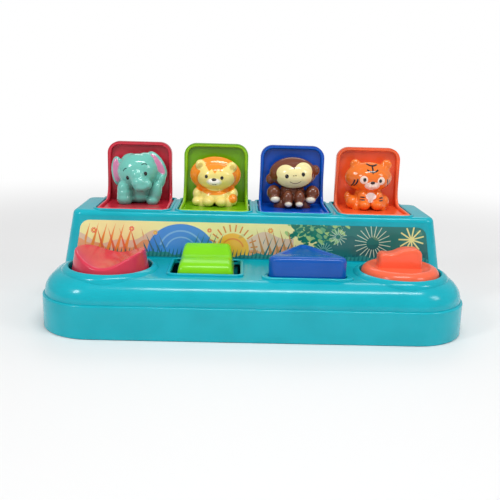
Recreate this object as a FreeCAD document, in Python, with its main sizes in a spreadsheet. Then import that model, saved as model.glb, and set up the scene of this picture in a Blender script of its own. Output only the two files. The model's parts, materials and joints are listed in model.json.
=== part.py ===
"""Pop up animal toy: a row of four spring-loaded hutches behind four push, slide, rock and twist controls.

Millimetres. X runs along the row of hutches, the controls face -Y, and Z = 0 is the face the toy rests on.
The hutches are drawn open. Each one turns a quarter turn about the hinge rod to close.
"""
import FreeCAD, Part
import math
import os
import re
import Sketcher

Vector = FreeCAD.Vector
Rotation = FreeCAD.Rotation

# ---------------------------------------------------------------- driving dimensions
SIZES = {
    # case
    "pitch": 70,               # hutch to hutch
    "deck_height": 85,         # rear deck above the ground
    "shelf_height": 45,        # front shelf above the ground
    "part_line": 27,           # split between upper and lower case
    "wall": 2.5,
    "deck_half": 154.3,        # rear block, half width at the deck
    "waist_half": 164.8,         # rear block, half width at the split
    "face_top": 3,             # picture face, y at the deck
    "face_foot": 1.5,          # picture face, y at the split
    "back_top": 74,
    "back_foot": 77,
    "block_corner": 9,
    "block_edge": 5,
    "room_edge": 1,            # inside edge under the deck
    "shelf_half": 167.5,
    "shelf_front": 77,
    "shelf_back": 22,
    "shelf_corner": 42,
    "shelf_edge": 17,
    "skirt_lip": 2,            # the lower case stands this far proud
    "skirt_edge": 1.4,
    "ring_high": 1.2,          # raised ring round each control
    "ring_wide": 2.6,
    # hutches
    "panel_wide": 58.6,
    "panel_top": 138,
    "panel_back": 69,
    "panel_thick": 2.5,
    "panel_corner": 11,
    "rim_deep": 3.5,
    "rim_wide": 2,
    "cheek_round": 13,
    "floor_wide": 61,
    "floor_front": 9,
    "floor_top": 84,
    "floor_thick": 2.2,
    "floor_corner": 7,
    "hutch_gap": 0.75,
    "slot_front_gap": 1.6,
    "axis_drop": 4,            # hinge axis below the deck
    "rod_bore": 1.5,
    "run_gap": 0.05,           # running clearance on radius
    "barrel_radius": 3.6,
    "spring_bay": 15,
    "wire": 0.7,
    "coil_radius": 2.1,
    "coil_turns": 12,
    # hinge ribs and clamps
    "rib_wide": 7,
    "rib_front": 54,
    "rib_low": 70,
    "clamp_high": 4,
    "clamp_half": 7,
    "clamp_reach": 4.8,
    "clamp_screw": 1.1,
    "stop_drop": 3.9,          # spring stop below the hinge axis
    "tab_x": 22,
    "tab_reach": 1.2,
    "figure_screw_x": 11,
    "figure_screw_y": 46,
    # latches
    "hook_wide": 3.2,
    "hook_thick": 2.5,
    "hook_long": 9.5,
    "hook_throat": 4.2,
    "nose_gap": 0.4,
    "nose_lead": 1.2,          # free space before the latch nose, for its swing
    "latch_low": 16,
    "latch_high": 21,
    "latch_pivot": 5,
    "latch_wide": 8,
    "latch_pin": 3,
    "latch_hub": 6.5,
    "control_y": 30,           # where the control feet meet the latch forks
    "foot_half": 1.5,
    "foot_deep": 2.5,
    "fork_gap": 0.6,
    "fork_prong": 3,
    "float_gap": 0.3,
    "centring_half": 5,
    "latch_wire": 0.8,
    "control_wire": 0.8,
    # rocker
    "rocker_x": 116.2,
    "round_y": 31.3,
    "rocker_radius": 30.8,
    "rocker_gap": 2.2,
    "rocker_top": 61.5,
    "rocker_edge": 5,
    "saddle_depth": 9.5,
    "saddle_radius": 38,
    "skirt_low": 38,
    "shell_wall": 2.2,
    "rocker_pivot": 36,
    "axle_half": 27,
    "rocker_spring_x": 20,
    "cup_radius": 5.5,
    "cup_high": 12,
    "spring_seat": 35,
    "lug_y": 15,
    # slide
    "slide_x": 39,
    "slide_y": 27.5,
    "slide_travel": 4.5,
    "slide_half": 22.7,
    "slide_top_half": 16,
    "slide_deep": 45,
    "slide_gap": 0.6,
    "ridge_radius": 8,
    "ridge_top": 61.5,
    "bulge_radius": 9.5,
    "bulge_top": 56.5,
    "carriage_thick": 2.5,
    "rail_x": 20.5,
    "slide_stop_x": 19,
    "slide_spring_z": 30,
    # push button
    "button_x": 41.5,
    "button_half": 36.2,
    "button_front": 56,
    "button_back": 1.9,
    "button_round": 6.5,
    "button_top": 62,
    "button_gap": 0.7,
    "button_flange": 2.4,
    "button_travel": 5,
    "button_dish": 1.2,
    "dish_margin": 7,
    "guide_spread": 15,
    "guide_y": 46,
    "guide_radius": 3,
    "guide_top": 34,
    "tube_low": 19.5,
    "button_lean": 0.55,       # sideways lean of the button's blade
    "blade_low": 8,
    "blade_high": 28,
    # twist knob
    "knob_x": 119,
    "knob_radius": 31.5,
    "knob_gap": 1,
    "knob_rim": 49,
    "dish_floor": 42,
    "grip_half": 19,
    "grip_thick": 15,
    "grip_low": 62,
    "grip_high": 67.5,
    "shaft_radius": 6,
    "crank_low": 27,
    "crank_high": 30,
    "crank_throw": 4.4,
    "crank_radius": 9,
    # fasteners and trim
    "screw_radius": 1.5,
    "head_radius": 2.8,
    "head_high": 1.8,
    "boss_radius": 3.8,
    "boss_low": 6,
    "screw_seat": 2.4,
    "boss_mid_y": 40,
    "boss_rear_x": 143.5,
    "boss_rear_y": 47,
    "boss_front_x": 146,
    "boss_front_y": 60,
    "label_thick": 0.4,
    "label_half": 146,
    "label_low": 47,
    "label_high": 76.6,
    "label_corner": 8,
    # figures
    "figure_scale": 1,
    "figure_deep": 36,
}

AXIS_Y = "(panel_back - axis_drop)"
AXIS_Z = "(deck_height - axis_drop)"
DECK_UNDER = "(deck_height - wall)"
SHELF_UNDER = "(shelf_height - wall)"
FLOOR_UNDER = "(floor_top - floor_thick)"
PANEL_FRONT = "(panel_back - panel_thick)"
RIM_FRONT = "(panel_back - panel_thick - rim_deep)"
LATCH_MID = "((latch_low + latch_high) / 2)"
STATIONS = {"red": "(-1.5 * pitch)", "green": "(-0.5 * pitch)", "blue": "(0.5 * pitch)",
            "orange": "(1.5 * pitch)"}

RIBS = [f"({step} * pitch)" for step in (-2, -1, 0, 1, 2)]
BOSSES = [("-pitch", "boss_mid_y", "deck_height"), ("0", "boss_mid_y", "deck_height"),
          ("pitch", "boss_mid_y", "deck_height"), ("-boss_rear_x", "boss_rear_y", "deck_height"),
          ("boss_rear_x", "boss_rear_y", "deck_height"), ("-boss_front_x", "-boss_front_y", "shelf_height"),
          ("boss_front_x", "-boss_front_y", "shelf_height"), ("0", "-boss_front_y - 2", "shelf_height")]

doc = FreeCAD.newDocument("PopUpAnimalToy")
sheet = doc.addObject("Spreadsheet::Sheet", "Sizes")
for row, (alias, number) in enumerate(SIZES.items(), 1):
    sheet.set(f"A{row}", alias)
    sheet.set(f"B{row}", str(number))
    sheet.setAlias(f"B{row}", alias)
doc.recompute()

WORD = re.compile(r"\b(" + "|".join(SIZES) + r")\b")
pieces = []


# ---------------------------------------------------------------- small helpers
def cells(text):
    """Point the size names in an expression at the sheet."""
    return WORD.sub(r"Sizes.\1", str(text))


def size(alias):
    """A driving dimension as a number, for the shapes that are made directly."""
    return float(sheet.get(alias))


def bind(thing, **formulas):
    for name, text in formulas.items():
        thing.setExpression(name, cells(text))
    return thing


def place(thing, x=0, y=0, z=0):
    for letter, text in zip("xyz", (x, y, z)):
        thing.setExpression(f".Placement.Base.{letter}", cells(text))
    return thing


def piece(thing, label):
    """Mark a finished sub-part, which is written out under its label."""
    thing.Label = label
    pieces.append(thing)
    return thing


def box(name, xs, ys, zs):
    block = doc.addObject("Part::Box", name)
    bind(block, Length=f"{xs[1]} - ({xs[0]})", Width=f"{ys[1]} - ({ys[0]})", Height=f"{zs[1]} - ({zs[0]})")
    return place(block, xs[0], ys[0], zs[0])


def rod(name, radius, start, length, along="Z"):
    """A cylinder from its start point along an axis."""
    turns = {"Z": Rotation(), "X": Rotation(Vector(0, 1, 0), 90), "Y": Rotation(Vector(1, 0, 0), -90)}
    bar = doc.addObject("Part::Cylinder", name)
    bar.Placement.Rotation = turns[along]
    bind(bar, Radius=radius, Height=length)
    return place(bar, *start)


def fuse(name, things):
    joined = doc.addObject("Part::MultiFuse", name)
    joined.Shapes = things
    joined.Refine = True
    return joined


def cut(name, base, tools):
    result = doc.addObject("Part::Cut", name)
    result.Base = base
    result.Tool = tools[0] if len(tools) == 1 else fuse(name + "_tools", tools)
    result.Refine = True
    return result


def common(name, things):
    result = doc.addObject("Part::MultiCommon", name)
    result.Shapes = things
    return result


def group(name, things):
    """Identical loose pieces that share one node."""
    bundle = doc.addObject("Part::Compound", name)
    bundle.Links = things
    return bundle


def edges_of(shape, wanted):
    bounds = FreeCAD.BoundBox()
    for corner in shape.Vertexes:
        bounds.add(corner.Point)
    return [f"Edge{i}" for i, edge in enumerate(shape.Edges, 1) if wanted(edge, bounds)]


def ends(edge):
    return edge.Vertexes[0].Point, edge.Vertexes[-1].Point


def upright(edge, _):
    a, b = ends(edge)
    return abs(a.z - b.z) > 0.9 * edge.Length and edge.Length > 0.5


def upright_any(edge, bounds):
    """Edges that climb from the foot to the top, leaning or not."""
    a, b = ends(edge)
    return abs(abs(a.z - b.z) - bounds.ZLength) < 1e-4


def upright_front(edge, bounds):
    return upright(edge, bounds) and ends(edge)[0].y < bounds.Center.y


def upright_back(edge, bounds):
    return upright(edge, bounds) and ends(edge)[0].y > bounds.Center.y


def circle(edge, _):
    return edge.Closed


def top(edge, bounds):
    return all(abs(p.z - bounds.ZMax) < 1e-4 for p in ends(edge))


def bottom(edge, bounds):
    return all(abs(p.z - bounds.ZMin) < 1e-4 for p in ends(edge))


def depthwise(edge, _):
    a, b = ends(edge)
    return abs(a.y - b.y) > 0.9 * edge.Length


def top_depthwise(edge, bounds):
    return top(edge, bounds) and depthwise(edge, bounds)


def rounded(body, rounds):
    """Round edges of a body's tip. Each round is a pair: which edges, and the radius."""
    for number, (wanted, radius) in enumerate(rounds):
        doc.recompute()
        base = body.Tip
        fillet = body.newObject("PartDesign::Fillet", f"{body.Name}_round{number}")
        fillet.Base = (base, edges_of(base.Shape, wanted))
        bind(fillet, Radius=radius)
    return body


def rounded_box(name, xs, ys, zs, *rounds):
    body = doc.addObject("PartDesign::Body", name)
    block = body.newObject("PartDesign::AdditiveBox", name + "_block")
    bind(block, Length=f"{xs[1]} - ({xs[0]})", Width=f"{ys[1]} - ({ys[0]})", Height=f"{zs[1]} - ({zs[0]})")
    place(block, xs[0], ys[0], zs[0])
    return rounded(body, rounds)


def rounded_disc(name, radius, start, length, *rounds):
    body = doc.addObject("PartDesign::Body", name)
    disc = body.newObject("PartDesign::AdditiveCylinder", name + "_disc")
    bind(disc, Radius=radius, Height=length)
    place(disc, *start)
    return rounded(body, rounds)


def tapered_block(name, half_low, half_top, ys_low, ys_top, zs, *rounds):
    """A block whose four sides lean, from its foot outline to its top outline."""
    body = doc.addObject("PartDesign::Body", name)
    wedge = body.newObject("PartDesign::AdditiveWedge", name + "_wedge")
    wedge.Placement.Rotation = Rotation(Vector(1, 0, 0), 90)
    wedge.Zmin, wedge.Z2min, wedge.Zmax, wedge.Z2max = -90, -90, 90, 90
    bind(wedge, Xmin=f"-({half_low})", Xmax=half_low, X2min=f"-({half_top})", X2max=half_top)
    bind(wedge, Ymin=0, Ymax=f"{zs[1]} - ({zs[0]})")
    bind(wedge, Zmin=f"-({ys_low[1]})", Zmax=f"-({ys_low[0]})")
    bind(wedge, Z2min=f"-({ys_top[1]})", Z2max=f"-({ys_top[0]})")
    place(wedge, 0, 0, zs[0])
    return rounded(body, rounds)


def plate_outline(name, corners, zs, *rounds):
    """A plate with straight sides, drawn on the ground plane and raised from zs[0] to zs[1]."""
    body = doc.addObject("PartDesign::Body", name)
    sketch = body.newObject("Sketcher::SketchObject", name + "_outline")
    ground = [plane for plane in body.Origin.OriginFeatures if plane.Role == "XY_Plane"][0]
    sketch.AttachmentSupport = [(ground, "")]
    sketch.MapMode = "FlatFace"
    count = len(corners)
    for number in range(count):
        around = 2 * math.pi * number / count
        ahead = 2 * math.pi * (number + 1) / count
        start = Vector(9 * math.cos(around), 9 * math.sin(around), 0)
        end = Vector(9 * math.cos(ahead), 9 * math.sin(ahead), 0)
        sketch.addGeometry(Part.LineSegment(start, end), False)
    for number in range(count):
        sketch.addConstraint(Sketcher.Constraint("Coincident", number, 2, (number + 1) % count, 1))
    for number, corner in enumerate(corners):
        for kind, text in zip(("DistanceX", "DistanceY"), corner):
            rule = sketch.addConstraint(Sketcher.Constraint(kind, -1, 1, number, 1, 1.0))
            sketch.setExpression(f"Constraints[{rule}]", cells(text))
    sketch.setExpression(".AttachmentOffset.Base.z", cells(zs[0]))
    pad = body.newObject("PartDesign::Pad", name + "_pad")
    pad.Profile = sketch
    bind(pad, Length=f"{zs[1]} - ({zs[0]})")
    return rounded(body, rounds)


def wire_solid(name, path, radius):
    """Round wire along a path that starts with a straight stretch."""
    first = path.Edges[0]
    start = first.valueAt(first.FirstParameter)
    ring = Part.Wire(Part.makeCircle(radius, start, first.tangentAt(first.FirstParameter)))
    thing = doc.addObject("Part::Feature", name)
    thing.Shape = path.makePipeShell([ring], True, True)
    return thing


def coil_path(pitch, turns, radius, lead=0.0, tail=0.0):
    """A helix about Z with a straight leg at each end that leaves along the wire."""
    helix = Part.makeHelix(pitch, pitch * turns, radius)
    first, last = helix.Edges[0], helix.Edges[-1]
    start, end = first.valueAt(first.FirstParameter), last.valueAt(last.LastParameter)
    edges = list(helix.Edges)
    if lead:
        edges.insert(0, Part.makeLine(start - first.tangentAt(first.FirstParameter) * lead, start))
    if tail:
        edges.append(Part.makeLine(end, end + last.tangentAt(last.LastParameter) * tail))
    return Part.Wire(edges)


def screw(name, x, y, seat, length, radius="screw_radius", head="head_radius", up=True):
    """A pan-head screw along Z. up: the shank points up from the face the head sits on."""
    if up:
        parts = [rod(name + "_head", head, (x, y, f"{seat} - head_high"), "head_high"),
                 rod(name + "_shank", radius, (x, y, seat), length)]
    else:
        parts = [rod(name + "_head", head, (x, y, seat), "head_high"),
                 rod(name + "_shank", radius, (x, y, f"{seat} - ({length})"), length)]
    return fuse(name, parts)


# ---------------------------------------------------------------- control outlines
def triangle(name, grow, zs, rounding=None):
    """The push button's outline, grown all round by an offset, with rounded corners."""
    tall = "(button_front + button_back)"
    slant = f"sqrt(button_half ^ 2 + {tall} ^ 2)"
    half = f"(button_half + ({grow}) * ({slant} + button_half) / {tall})"
    front = f"(-button_front - ({grow}))"
    back = f"(button_back + ({grow}) * {slant} / button_half)"
    corners = [(f"button_x - {half}", front), (f"button_x + {half}", front), ("button_x", back)]
    return plate_outline(name, corners, zs, (upright, rounding or f"button_round + ({grow})"))


# ---------------------------------------------------------------- upper case
def upper_case():
    shelf = rounded_box("shelf", ("-shelf_half", "shelf_half"), ("-shelf_front", "shelf_back"),
                        ("part_line", "shelf_height"), (upright, "shelf_corner"), (top, "shelf_edge"))
    shelf_room = rounded_box("shelf_room", ("-(shelf_half - wall)", "shelf_half - wall"),
                             ("-(shelf_front - wall)", "shelf_back - wall"), ("part_line", SHELF_UNDER),
                             (upright, "shelf_corner - wall"), (top, "shelf_edge - wall"))
    block = tapered_block("block", "waist_half", "deck_half", ("face_foot", "back_foot"),
                          ("face_top", "back_top"),
                          ("part_line", "deck_height"), (upright_any, "block_corner"), (top, "block_edge"))
    block_room = tapered_block("block_room", "waist_half - wall", "deck_half - wall",
                               ("face_foot + wall", "back_foot - wall"),
                               ("face_top + wall", "back_top - wall"),
                               ("part_line", DECK_UNDER), (upright_any, "block_corner - wall"),
                               (top, "room_edge"))
    outside = fuse("upper_outside", [shelf, block])
    room = fuse("upper_room", [shelf_room, block_room])
    shell = cut("upper_shell", outside, [room])

    # raised rings round the four controls
    rings = [rod("rocker_ring", "rocker_radius + rocker_gap + ring_wide",
                 ("-rocker_x", "-round_y", "shelf_height - wall"), "wall + ring_high"),
             rod("knob_ring", "knob_radius + knob_gap + ring_wide",
                 ("knob_x", "-round_y", "shelf_height - wall"), "wall + ring_high"),
             triangle("button_ring", "button_gap + ring_wide", (SHELF_UNDER, "shelf_height + ring_high")),
             rounded_box("slide_ring", ("-slide_x - slide_half - slide_travel - slide_gap - ring_wide",
                                        "-slide_x + slide_half + slide_travel + slide_gap + ring_wide"),
                         ("-slide_y - slide_deep / 2 - slide_gap - ring_wide",
                          "-slide_y + slide_deep / 2 + slide_gap + ring_wide"),
                         (SHELF_UNDER, "shelf_height + ring_high"), (upright, "ring_wide + 2"))]

    # inside: hinge ribs, spring stops, screw bosses and the dish the knob turns in
    inside = []
    for number, x in enumerate(RIBS):
        inside.append(box(f"rib{number}", (f"{x} - rib_wide / 2", f"{x} + rib_wide / 2"),
                          ("rib_front", "back_foot"),
                          ("rib_low", "deck_height - wall / 2")))
    for colour, x in STATIONS.items():
        inside.append(box(f"{colour}_stop", (f"{x} + spring_bay / 2 - 4", f"{x} + spring_bay / 2"),
                          (f"{AXIS_Y} + barrel_radius + float_gap", "back_foot"),
                          (f"{AXIS_Z} - stop_drop - 4", f"{AXIS_Z} - stop_drop")))
    for number, (x, y, roof) in enumerate(BOSSES):
        inside.append(rod(f"boss{number}", "boss_radius", (x, y, "part_line"),
                          f"{roof} - part_line - wall / 2"))
    inside.append(rod("knob_dish", "knob_radius + knob_gap + wall",
                      ("knob_x", "-round_y", "dish_floor - wall"),
                      "shelf_height - dish_floor + wall / 2"))
    trimmed = common("upper_inside", [fuse("upper_inside_parts", inside), outside])

    # bosses reach below the split, into the lower case
    legs = [rod(f"boss_leg{number}", "boss_radius", (x, y, "boss_low"), "part_line - boss_low + 1")
            for number, (x, y, _) in enumerate(BOSSES)]
    solid = fuse("upper_solid", [shell, trimmed] + rings + legs)

    # openings
    holes = []
    for colour, x in STATIONS.items():
        holes.append(rounded_box(f"{colour}_slot",
                                 (f"{x} - floor_wide / 2 - hutch_gap", f"{x} + floor_wide / 2 + hutch_gap"),
                                 ("floor_front - slot_front_gap", "panel_back + 1"),
                                 (f"{DECK_UNDER} - 1", "deck_height + 1"),
                                 (upright_front, "floor_corner + hutch_gap"), (upright_back, "2")))
    holes.append(rod("rocker_hole", "rocker_radius + rocker_gap",
                     ("-rocker_x", "-round_y", "dish_floor - 5"), "20"))
    holes.append(rod("knob_hole", "knob_radius + knob_gap", ("knob_x", "-round_y", "dish_floor"), "20"))
    holes.append(rod("shaft_hole", "shaft_radius + run_gap", ("knob_x", "-round_y", "dish_floor - 9"),
                     "20"))
    holes.append(triangle("button_hole", "button_gap", (f"{SHELF_UNDER} - 1", "shelf_height + 9")))
    holes.append(rounded_box("slide_hole", ("-slide_x - slide_half - slide_travel - slide_gap",
                                            "-slide_x + slide_half + slide_travel + slide_gap"),
                             ("-slide_y - slide_deep / 2 - slide_gap",
                              "-slide_y + slide_deep / 2 + slide_gap"),
                             (f"{SHELF_UNDER} - 1", "shelf_height + 9"), (upright, "2")))
    for number, x in enumerate(RIBS):
        holes.append(box(f"rod_slot{number}", (f"{x} - rib_wide / 2 - 1", f"{x} + rib_wide / 2 + 1"),
                         (f"{AXIS_Y} - rod_bore", f"{AXIS_Y} + rod_bore"), ("rib_low - 1", AXIS_Z)))
        holes.append(rod(f"rod_seat{number}", "rod_bore", (f"{x} - rib_wide / 2 - 1", AXIS_Y, AXIS_Z),
                         "rib_wide + 2", "X"))
        for side in (-1, 1):
            holes.append(rod(f"clamp_pilot{number}_{side + 1}", "clamp_screw",
                             (x, f"{AXIS_Y} + {side} * clamp_reach", "rib_low - 1"), "9"))
    for number, (x, y, _) in enumerate(BOSSES):
        holes.append(rod(f"boss_pilot{number}", "screw_radius", (x, y, "boss_low - 1"), "14"))
    piece(cut("upper_case_body", solid, holes), "upper_case")


# ---------------------------------------------------------------- lower case
def lower_case():
    skirt = rounded_box("skirt", ("-shelf_half - skirt_lip", "shelf_half + skirt_lip"),
                        ("-shelf_front - skirt_lip", "shelf_back + skirt_lip"), ("0", "part_line"),
                        (upright, "shelf_corner + skirt_lip"), (top, "skirt_edge"), (bottom, "skirt_edge"))
    back = rounded_box("skirt_back", ("-waist_half - skirt_lip", "waist_half + skirt_lip"),
                       ("face_foot", "back_foot + skirt_lip"), ("0", "part_line"),
                       (upright, "block_corner + skirt_lip"), (top, "skirt_edge"), (bottom, "skirt_edge"))
    room = rounded_box("skirt_room", ("-shelf_half + wall", "shelf_half - wall"),
                       ("-shelf_front + wall", "shelf_back - wall"), ("wall", "part_line"),
                       (upright, "shelf_corner - wall"))
    back_room = rounded_box("back_room", ("-waist_half + wall", "waist_half - wall"),
                            ("face_foot + wall", "back_foot - wall"), ("wall", "part_line"),
                            (upright, "block_corner - wall"))
    tray = cut("tray", fuse("tray_outside", [skirt, back]), [fuse("tray_room", [room, back_room])])

    posts = []
    for number, (x, y, _) in enumerate(BOSSES):
        posts.append(rod(f"foot{number}", "boss_radius + 2", (x, y, "wall / 2"), "boss_low - wall / 2"))
    for colour, x in STATIONS.items():
        posts.append(rod(f"{colour}_post", "latch_pin + 2", (x, "latch_pivot", "wall / 2"),
                         "latch_low - float_gap - wall / 2"))
        posts.append(box(f"{colour}_centring_block", (f"{x} - centring_half", f"{x} + centring_half"),
                         ("latch_pivot + 13", "latch_pivot + 16"), ("wall / 2", "latch_low - 4")))
        posts.append(rod(f"{colour}_pin", "latch_pin", (x, "latch_pivot", "wall / 2"),
                         "latch_high + float_gap - wall / 2"))
    for side in (-1, 1):
        # rocker bearings and the cups its springs stand in
        y = f"(-round_y + {side} * (axle_half - 3))"
        posts.append(box(f"rocker_post{side + 1}", ("-rocker_x - 2", "-rocker_x + 2"),
                         (f"{y} - 2", f"{y} + 2"),
                         ("wall / 2", "rocker_pivot + rod_bore + 1.5")))
        posts.append(rod(f"rocker_cup{side + 1}", "cup_radius",
                         (f"-rocker_x + {side} * rocker_spring_x", "-round_y",
                         "wall / 2"), "cup_high - wall / 2"))
        # slide rails and the stops of its centring springs
        y = f"(-slide_y + {side} * (slide_deep / 2 + 4))"
        for end in (-1, 1):
            x = f"(-slide_x + {end} * rail_x)"
            posts.append(box(f"slide_rail{side + 1}_{end + 1}", (f"{x} - 5", f"{x} + 5"),
                             (f"{y} - 1.5", f"{y} + 1.5"),
                             ("wall / 2", f"{SHELF_UNDER} - carriage_thick - 2 * float_gap")))
        x = f"(-slide_x + {side} * (slide_stop_x + 1.5))"
        posts.append(box(f"slide_stop{side + 1}", (f"{x} - 1.5", f"{x} + 1.5"),
                         ("-control_y - 5", "-control_y + 5"),
                         ("wall / 2", "slide_spring_z + 4")))
        # push button guides
        posts.append(rod(f"button_guide{side + 1}", "guide_radius",
                         (f"button_x + {side} * guide_spread", "-guide_y",
                         "wall / 2"), "guide_top - wall / 2"))
    solid = fuse("lower_solid", [tray] + posts)

    holes = []
    for number, (x, y, _) in enumerate(BOSSES):
        holes.append(rod(f"foot_sink{number}", "head_radius + 0.4", (x, y, "-1"), "1 + screw_seat"))
        holes.append(rod(f"foot_hole{number}", "screw_radius + 0.2", (x, y, "-1"), "boss_low + 2"))
    for colour, x in STATIONS.items():
        holes.append(rod(f"{colour}_post_pilot", "clamp_screw", (x, "latch_pivot", "latch_low - 3"), "12"))
    holes.append(rod("rocker_axle_hole", "rod_bore",
                     ("-rocker_x", "-round_y - axle_half - 1", "rocker_pivot"),
                     "2 * axle_half + 2", "Y"))
    piece(cut("lower_case_body", solid, holes), "lower_case")

    screws = [screw(f"case_screw{number}", x, y, "screw_seat", "14") for number,
              (x, y, _) in enumerate(BOSSES)]
    piece(group("case_screws_group", screws), "case_screws")


# ---------------------------------------------------------------- hinge rod and its clamps
def hinge_line():
    piece(rod("hinge_rod_body", "rod_bore", ("-2 * pitch - rib_wide / 2", AXIS_Y, AXIS_Z),
              "4 * pitch + rib_wide", "X"),
          "hinge_rod")
    clamps, screws = [], []
    for number, x in enumerate(RIBS):
        bar = box(f"clamp_bar{number}", (f"{x} - rib_wide / 2", f"{x} + rib_wide / 2"),
                  (f"{AXIS_Y} - clamp_half", f"{AXIS_Y} + clamp_half"), ("rib_low - clamp_high", "rib_low"))
        tongue = box(f"clamp_tongue{number}", (f"{x} - rib_wide / 2", f"{x} + rib_wide / 2"),
                     (f"{AXIS_Y} - rod_bore + run_gap", f"{AXIS_Y} + rod_bore - run_gap"),
                     ("rib_low - 1", AXIS_Z))
        tools = [rod(f"clamp_seat{number}", "rod_bore", (f"{x} - rib_wide", AXIS_Y, AXIS_Z),
                     "2 * rib_wide", "X")]
        for side in (-1, 1):
            y = f"{AXIS_Y} + {side} * clamp_reach"
            tools.append(rod(f"clamp_hole{number}_{side + 1}", "clamp_screw",
                             (x, y, "rib_low - clamp_high - 1"),
                             "clamp_high + 2"))
            screws.append(screw(f"clamp_screw{number}_{side + 1}", x, y, "rib_low - clamp_high",
                                "clamp_high + 7", "clamp_screw", "clamp_screw + 0.9"))
        clamps.append(cut(f"clamp{number}", fuse(f"clamp_blank{number}", [bar, tongue]), tools))
    piece(group("rod_clamps_group", clamps), "rod_clamps")
    piece(group("clamp_screws_group", screws), "clamp_screws")


# ---------------------------------------------------------------- hutches
def hutch(colour, x):
    """An L of panel and floor: hinge barrel in the corner, catch hook and stop tabs under the floor."""
    half = "panel_wide / 2"
    panel = rounded_box(f"{colour}_panel", (f"{x} - {half}", f"{x} + {half}"), (RIM_FRONT, "panel_back"),
                        (FLOOR_UNDER, "panel_top"), (top_depthwise, "panel_corner"))
    recess = rounded_box(f"{colour}_recess", (f"{x} - {half} + rim_wide", f"{x} + {half} - rim_wide"),
                         (f"{RIM_FRONT} - 1", PANEL_FRONT), ("floor_top", "panel_top - rim_wide"),
                         (top_depthwise, "panel_corner - rim_wide"))
    floor = rounded_box(f"{colour}_floor", (f"{x} - floor_wide / 2", f"{x} + floor_wide / 2"),
                        ("floor_front", "panel_back"), (FLOOR_UNDER, "floor_top"),
                        (upright_front, "floor_corner"))
    solids = [cut(f"{colour}_tray", panel, [recess]), floor]
    for side in (-1, 1):
        edge = f"{x} + {side} * ({half} - rim_wide / 2)"
        web = box(f"{colour}_web{side + 1}", (f"{edge} - rim_wide / 2", f"{edge} + rim_wide / 2"),
                  (f"{RIM_FRONT} - cheek_round", RIM_FRONT), ("floor_top", "floor_top + cheek_round"))
        scoop = rod(f"{colour}_scoop{side + 1}", "cheek_round",
                    (f"{edge} - rim_wide", f"{RIM_FRONT} - cheek_round", "floor_top + cheek_round"),
                    "2 * rim_wide", "X")
        solids.append(cut(f"{colour}_cheek{side + 1}", web, [scoop]))
        start = f"{x} - {half}" if side < 0 else f"{x} + spring_bay / 2"
        solids.append(rod(f"{colour}_barrel{side + 1}", "barrel_radius", (start, AXIS_Y, AXIS_Z),
                          f"{half} - spring_bay / 2", "X"))
        tab = f"{x} + {side} * tab_x"
        solids.append(box(f"{colour}_tab{side + 1}", (f"{tab} - 3", f"{tab} + 3"),
                          ("floor_front - slot_front_gap - tab_reach", "floor_front + 4"),
                          (f"{FLOOR_UNDER} - 1.5", f"{DECK_UNDER} - float_gap")))
    hook = (f"{x} - hook_wide / 2", f"{x} + hook_wide / 2")
    solids.append(box(f"{colour}_hook_stem", hook,
                      ("floor_front + hook_long - 4", "floor_front + hook_long"),
                      (f"{AXIS_Z} - hook_throat - hook_thick", f"{FLOOR_UNDER} + 0.5")))
    solids.append(box(f"{colour}_hook_tooth", hook, ("floor_front + 0.5", "floor_front + hook_long"),
                      (f"{AXIS_Z} - hook_throat - hook_thick", f"{AXIS_Z} - hook_throat")))
    bay = (f"{x} - spring_bay / 2", AXIS_Y, AXIS_Z)
    tools = [rod(f"{colour}_bore", "rod_bore + run_gap", (f"{x} - floor_wide / 2 - 1", AXIS_Y, AXIS_Z),
                 "floor_wide + 2", "X"),
             rod(f"{colour}_bay", "coil_radius + wire / 2 + 0.35", bay, "spring_bay", "X")]
    screws = []
    for side in (-1, 1):
        spot = f"{x} + {side} * figure_screw_x"
        tools.append(rod(f"{colour}_figure_hole{side + 1}", "clamp_screw", (spot, "figure_screw_y",
                         f"{FLOOR_UNDER} - 1"), "floor_thick + 2"))
        screws.append(screw(f"{colour}_figure_screw{side + 1}", spot, "figure_screw_y", FLOOR_UNDER,
                            "floor_thick + 6",
                            "clamp_screw", "head_radius"))
    piece(cut(f"{colour}_hutch_body", fuse(f"{colour}_hutch_solid", solids), tools), f"{colour}_hutch")
    piece(group(f"{colour}_figure_screws_group", screws), f"{colour}_figure_screws")


def hutch_spring(colour, number):
    """Torsion spring on the hinge rod: one leg lifts the floor, the other rests on the stop behind."""
    wire, radius, turns = size("wire"), size("coil_radius"), size("coil_turns")
    pitch = wire * 1.35
    leg = 14
    spring = wire_solid(f"{colour}_spring_wire", coil_path(pitch, turns, radius, leg, 6), wire / 2)
    axis = Vector((number - 1.5) * size("pitch"), size("panel_back") - size("axis_drop"),
                  size("deck_height") - size("axis_drop"))
    # the coil lies along X and rolls until its front leg meets the underside of the floor
    under = size("floor_top") - size("floor_thick") - axis.z - wire / 2 - 0.05
    roll = math.asin(under / math.hypot(leg, radius)) + math.atan(radius / leg)
    turn = Rotation(Vector(1, 0, 0), -math.degrees(roll)) * Rotation(Vector(0, 1, 0), 90)
    spring.Placement = FreeCAD.Placement(axis + Vector(-pitch * turns / 2, 0, 0), turn)
    piece(spring, f"{colour}_hutch_spring")


# ---------------------------------------------------------------- figures
def pebble(name, x, y, z, radius, deep):
    """A rounded disc that faces the front, from half its depth before its middle to half behind."""
    body = doc.addObject("PartDesign::Body", name)
    disc = body.newObject("PartDesign::AdditiveCylinder", name + "_disc")
    disc.Placement.Rotation = Rotation(Vector(1, 0, 0), -90)
    bind(disc, Radius=f"{radius} * figure_scale", Height=f"2 * {deep} * figure_scale")
    place(disc, x, f"{y} - {deep} * figure_scale", z)
    return rounded(body, [(circle, f"min(0.9 * {deep}; 0.6 * {radius}) * figure_scale")])


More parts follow.
